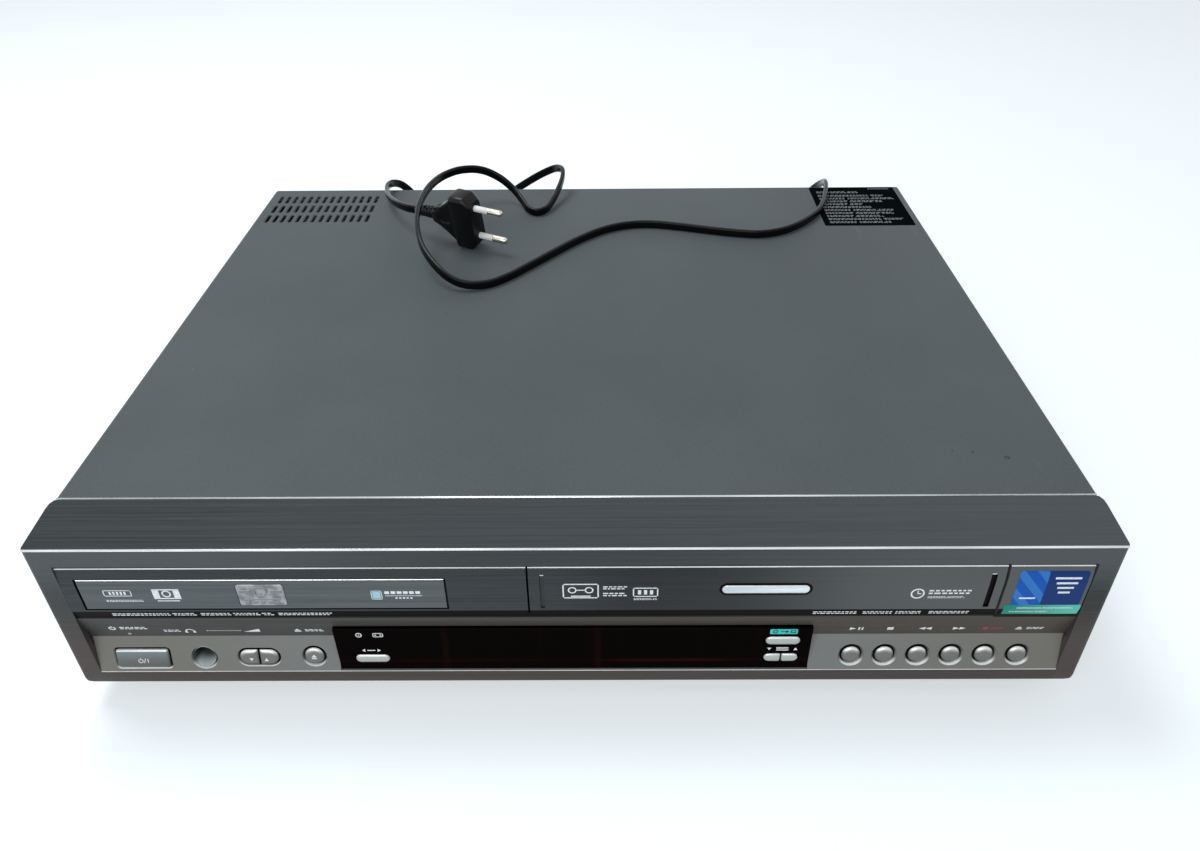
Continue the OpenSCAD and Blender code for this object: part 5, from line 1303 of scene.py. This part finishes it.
def circuit_board(name, dark, light, solder):
    """A lacquered board: tracks that change direction from patch to patch, and dots of solder."""
    made = Finish(name, light, 0.36, specular=0.4)
    patch = made.where.cells(48, "Color").axis("X").rise(0.49, 0.51)
    run = made.where.axis("X") * (1 - patch) + (made.where.axis("Y") + made.where.axis("Z")) * patch
    track = run.math("PINGPONG", run, 0.0013).rise(0.0008, 0.0009)
    dots = 1 - made.where.cells(230).rise(0.16, 0.2)
    made.set("Base Color", (dots * track).blend(track.blend(dark, light), solder))
    made.set("Roughness", made.where.noise(60, 3) * 0.2 + 0.28)
    made.bump(track, 0.00004)
    return made


board_green = circuit_board("board_green", srgb(22, 62, 36), srgb(38, 92, 54), srgb(172, 178, 176))
board_tan = circuit_board("board_tan", srgb(158, 120, 66), srgb(184, 146, 88), srgb(196, 196, 190))
chip_black = plain_stuff("chip_black", srgb(20, 20, 22), srgb(32, 32, 35), 700, 0.5, grain=0.00002)
smoked_tube = plain_stuff("smoked_tube", srgb(20, 26, 24), srgb(36, 44, 40), 50, 0.12, specular=0.5)
key_board = wear(board_green, "front_board")
accent(key_board, chip_black, lambda at, way: at.y < 15.9)
accent(key_board, smoked_tube, lambda at, way: at.y < 15 and -63 < at.x < 61)
accent(key_board, ivory_moulding, lambda at, way: at.y < 13.2 and not -63 < at.x < 61)

# ---- disc loader ----
# The tray runs in an ivory frame, driven by a gear on its rack. Under it the traverse swings up with the
# turntable and the pickup on its rods, and a bridge over the tray carries the clamp.
tray_black = plain_stuff("tray_black", srgb(30, 31, 33), srgb(42, 43, 46), 40, 0.5, specular=0.25,
                         grain=0.00004)
mat_rubber = plain_stuff("mat_rubber", srgb(18, 18, 18), srgb(28, 28, 28), 240, 0.8, specular=0.15)
optic = Finish("pickup_lens", srgb(90, 110, 160), 0.06, coat=1.0)
optic.tones(700, srgb(70, 88, 150), srgb(120, 136, 176))
wear(tray_black, "disc_tray")
wear(ivory_moulding, "loader_frame", "tray_gear")
wear(deck_sheet, "clamp_bridge")
clamp_disc = wear(black_moulding, "disc_clamper")
accent(clamp_disc, mat_rubber, lambda at, way: at.z < 57.2)
sled = wear(ivory_moulding, "traverse")
rod_x, rod_r = 22, 1.6
accent(sled, screw_zinc, lambda at, way: (
    96 < at.y < 156 and 41.4 < at.z < 44.6 and abs(abs(at.x - disc_x) - rod_x) < rod_r))
accent(sled, zinc_sheet, lambda at, way: at.z > 39.2 and hypot(at.x - disc_x, at.y - 80) < 13.1)
spindle = wear(black_moulding, "turntable")
accent(spindle, mat_rubber, lambda at, way: way.z > 0.9 and 55 < at.z < 55.4)
accent(spindle, bright_nickel, lambda at, way: at.z > 55.4)
laser_head = wear(black_moulding, "pickup")
accent(laser_head, zinc_sheet, lambda at, way: at.z < 46.5)
accent(laser_head, optic, lambda at, way: (
    way.z > 0.9 and at.z > 47.4 and hypot(at.x - disc_x, at.y - 103.5) < 3))

# ---- cassette deck ----
# A zinc coated plate carries the carriage, the reels, the capstan with its flywheel and the pinch roller.
# The drum is turned from alloy; the guides draw the tape round it past the fixed heads.
deck_x, drum_y = 76.65, 225


def turned(name, dark, light, x, y, rough=0.24):
    """Metal from the lathe: fine rings about an upright axis."""
    made = Finish(name, light, rough, metallic=0.85)
    ends = {0: made.where, 1: tuple(spot(x, y, 0))}
    flat = made.where.node("VectorMath", {"operation": "SUBTRACT"}, ends).stretched(1, 1, 0)
    radius = flat.node("VectorMath", {"operation": "LENGTH"}, {0: flat}, 1)
    rings = radius.node(
        "TexNoise", {"noise_dimensions": "1D"}, {"W": (radius + made.where.axis("Z")) * 5200.0, "Scale": 1.0})
    made.set("Base Color", rings.rise(0.3, 0.7).blend(dark, light))
    made.set("Roughness", rings * 0.16 + (rough - 0.08))
    made.bump(rings, 0.000003)
    return made


drum_alloy = turned("drum_alloy", srgb(158, 161, 163), srgb(196, 199, 200), deck_x, drum_y)
flywheel = turned("flywheel", srgb(132, 135, 138), srgb(172, 175, 177), deck_x + 58, 196)
roller_rubber = plain_stuff("roller_rubber", srgb(18, 18, 19), srgb(30, 30, 31), 300, 0.62, specular=0.2)
motor_can = plain_stuff("motor_can", srgb(142, 146, 150), srgb(176, 180, 183), 200, 0.26, metallic=0.85)
wear(deck_sheet, "deck_plate", "carriage_sides", "cassette_basket")
wear(ivory_moulding, "basket_slides")
accent(nodes["deck_plate"], screw_zinc, lambda at, way: at.z > 16)
wear(drum_alloy, "lower_drum", "upper_drum")
accent(nodes["lower_drum"], black_moulding, lambda at, way: (
    at.z < 20 and hypot(at.x - deck_x, at.y - drum_y) < 30 and way.z < 0.5))
wear(flywheel, "capstan")
wear(deck_sheet, "pinch_arm", "tape_heads")
accent(nodes["tape_heads"], black_moulding, lambda at, way: at.z < 16.2)
wear(roller_rubber, "pinch_roller")
for body_name in ("supply_reel", "take_up_reel"):
    wear(ivory_moulding, body_name)
    accent(nodes[body_name], black_moulding, lambda at, way: at.z < 18.1)
for body_name in ("supply_guide", "take_up_guide"):
    wear(bright_nickel, body_name)
    accent(nodes[body_name], black_moulding, lambda at, way: at.z < 19.1)
    accent(nodes[body_name], ivory_moulding, lambda at, way: 30.9 < at.z < 46.1)
motors = wear(motor_can, "small_motors")
accent(motors, ivory_moulding, lambda at, way: at.y > 230 and at.x < -6.2)
accent(motors, black_moulding, lambda at, way: at.y > 230 and (at.x > 22 or at.z < 18))

# ---- boards and rear sockets ----
# The signal board with its chips and capacitors, the mains supply on its own board with transformer, heat
# sink and mains capacitor, the screened tuner, and the sockets that reach through the rear wall.
sleeve_black = plain_stuff("sleeve_black", srgb(22, 24, 34), srgb(34, 37, 50), 260, 0.35, specular=0.4)
winding_tape = plain_stuff("winding_tape", srgb(196, 160, 58), srgb(218, 184, 82), 150, 0.35)
heat_sink = plain_stuff("heat_sink", srgb(150, 153, 156), srgb(180, 183, 186), 90, 0.4, metallic=0.7)
main_plate = wear(board_green, "main_board")
accent(main_plate, chip_black, lambda at, way: at.z > 10.8)
accent(main_plate, ivory_moulding, lambda at, way: at.z > 10.8 and at.y < 58.5)
accent(main_plate, sleeve_black, lambda at, way: at.z > 10.8 and (
    279 < at.y < 291 or (-66.5 < at.x < -57.5 and 85 < at.y < 175)))
accent(main_plate, bright_nickel, lambda at, way: at.z > 20.8 and way.z > 0.9)

supply = wear(board_tan, "power_supply")
accent(supply, sleeve_black, lambda at, way: at.z > 10.8 and not 58 < at.x < 74)
accent(supply, zinc_sheet, lambda at, way: at.z > 10.8 and 89 < at.x < 131)
accent(supply, winding_tape, lambda at, way: 13 < at.z < 39 and 83 < at.x < 137 and (
    abs(at.x - 110) > 20.1 or way.y > 0.5 and at.y < 318 or way.y < -0.5 and at.y > 287))
accent(supply, heat_sink, lambda at, way: at.z > 10.8 and 58 < at.x < 74)
accent(supply, bright_nickel, lambda at, way: way.z > 0.9 and 26.8 < at.z and not 58 < at.x < 140)

rear_sockets = wear(black_moulding, "av_sockets")
for x in (-76, -62, -48):
    for z, liner in ((18, phono_colours[2]), (32, phono_colours[0 if x == -76 else 1])):
        away = across_of(x, z)
        accent(rear_sockets, bright_nickel, lambda at, way: at.y > 351.4 and away(at) < 4.2)
        accent(rear_sockets, liner, lambda at, way: at.y > 350 and away(at) < 3.3)
accent(rear_sockets, bright_nickel, lambda at, way: at.x < -90 and at.y > 353.1 and abs(way.y) < 0.5
       and abs(at.z - 24) > 4.6)
wear(motor_can, "tuner")
accent(nodes["tuner"], bright_nickel, lambda at, way: at.y > 352.7)
wear(black_moulding, "cord_gland")
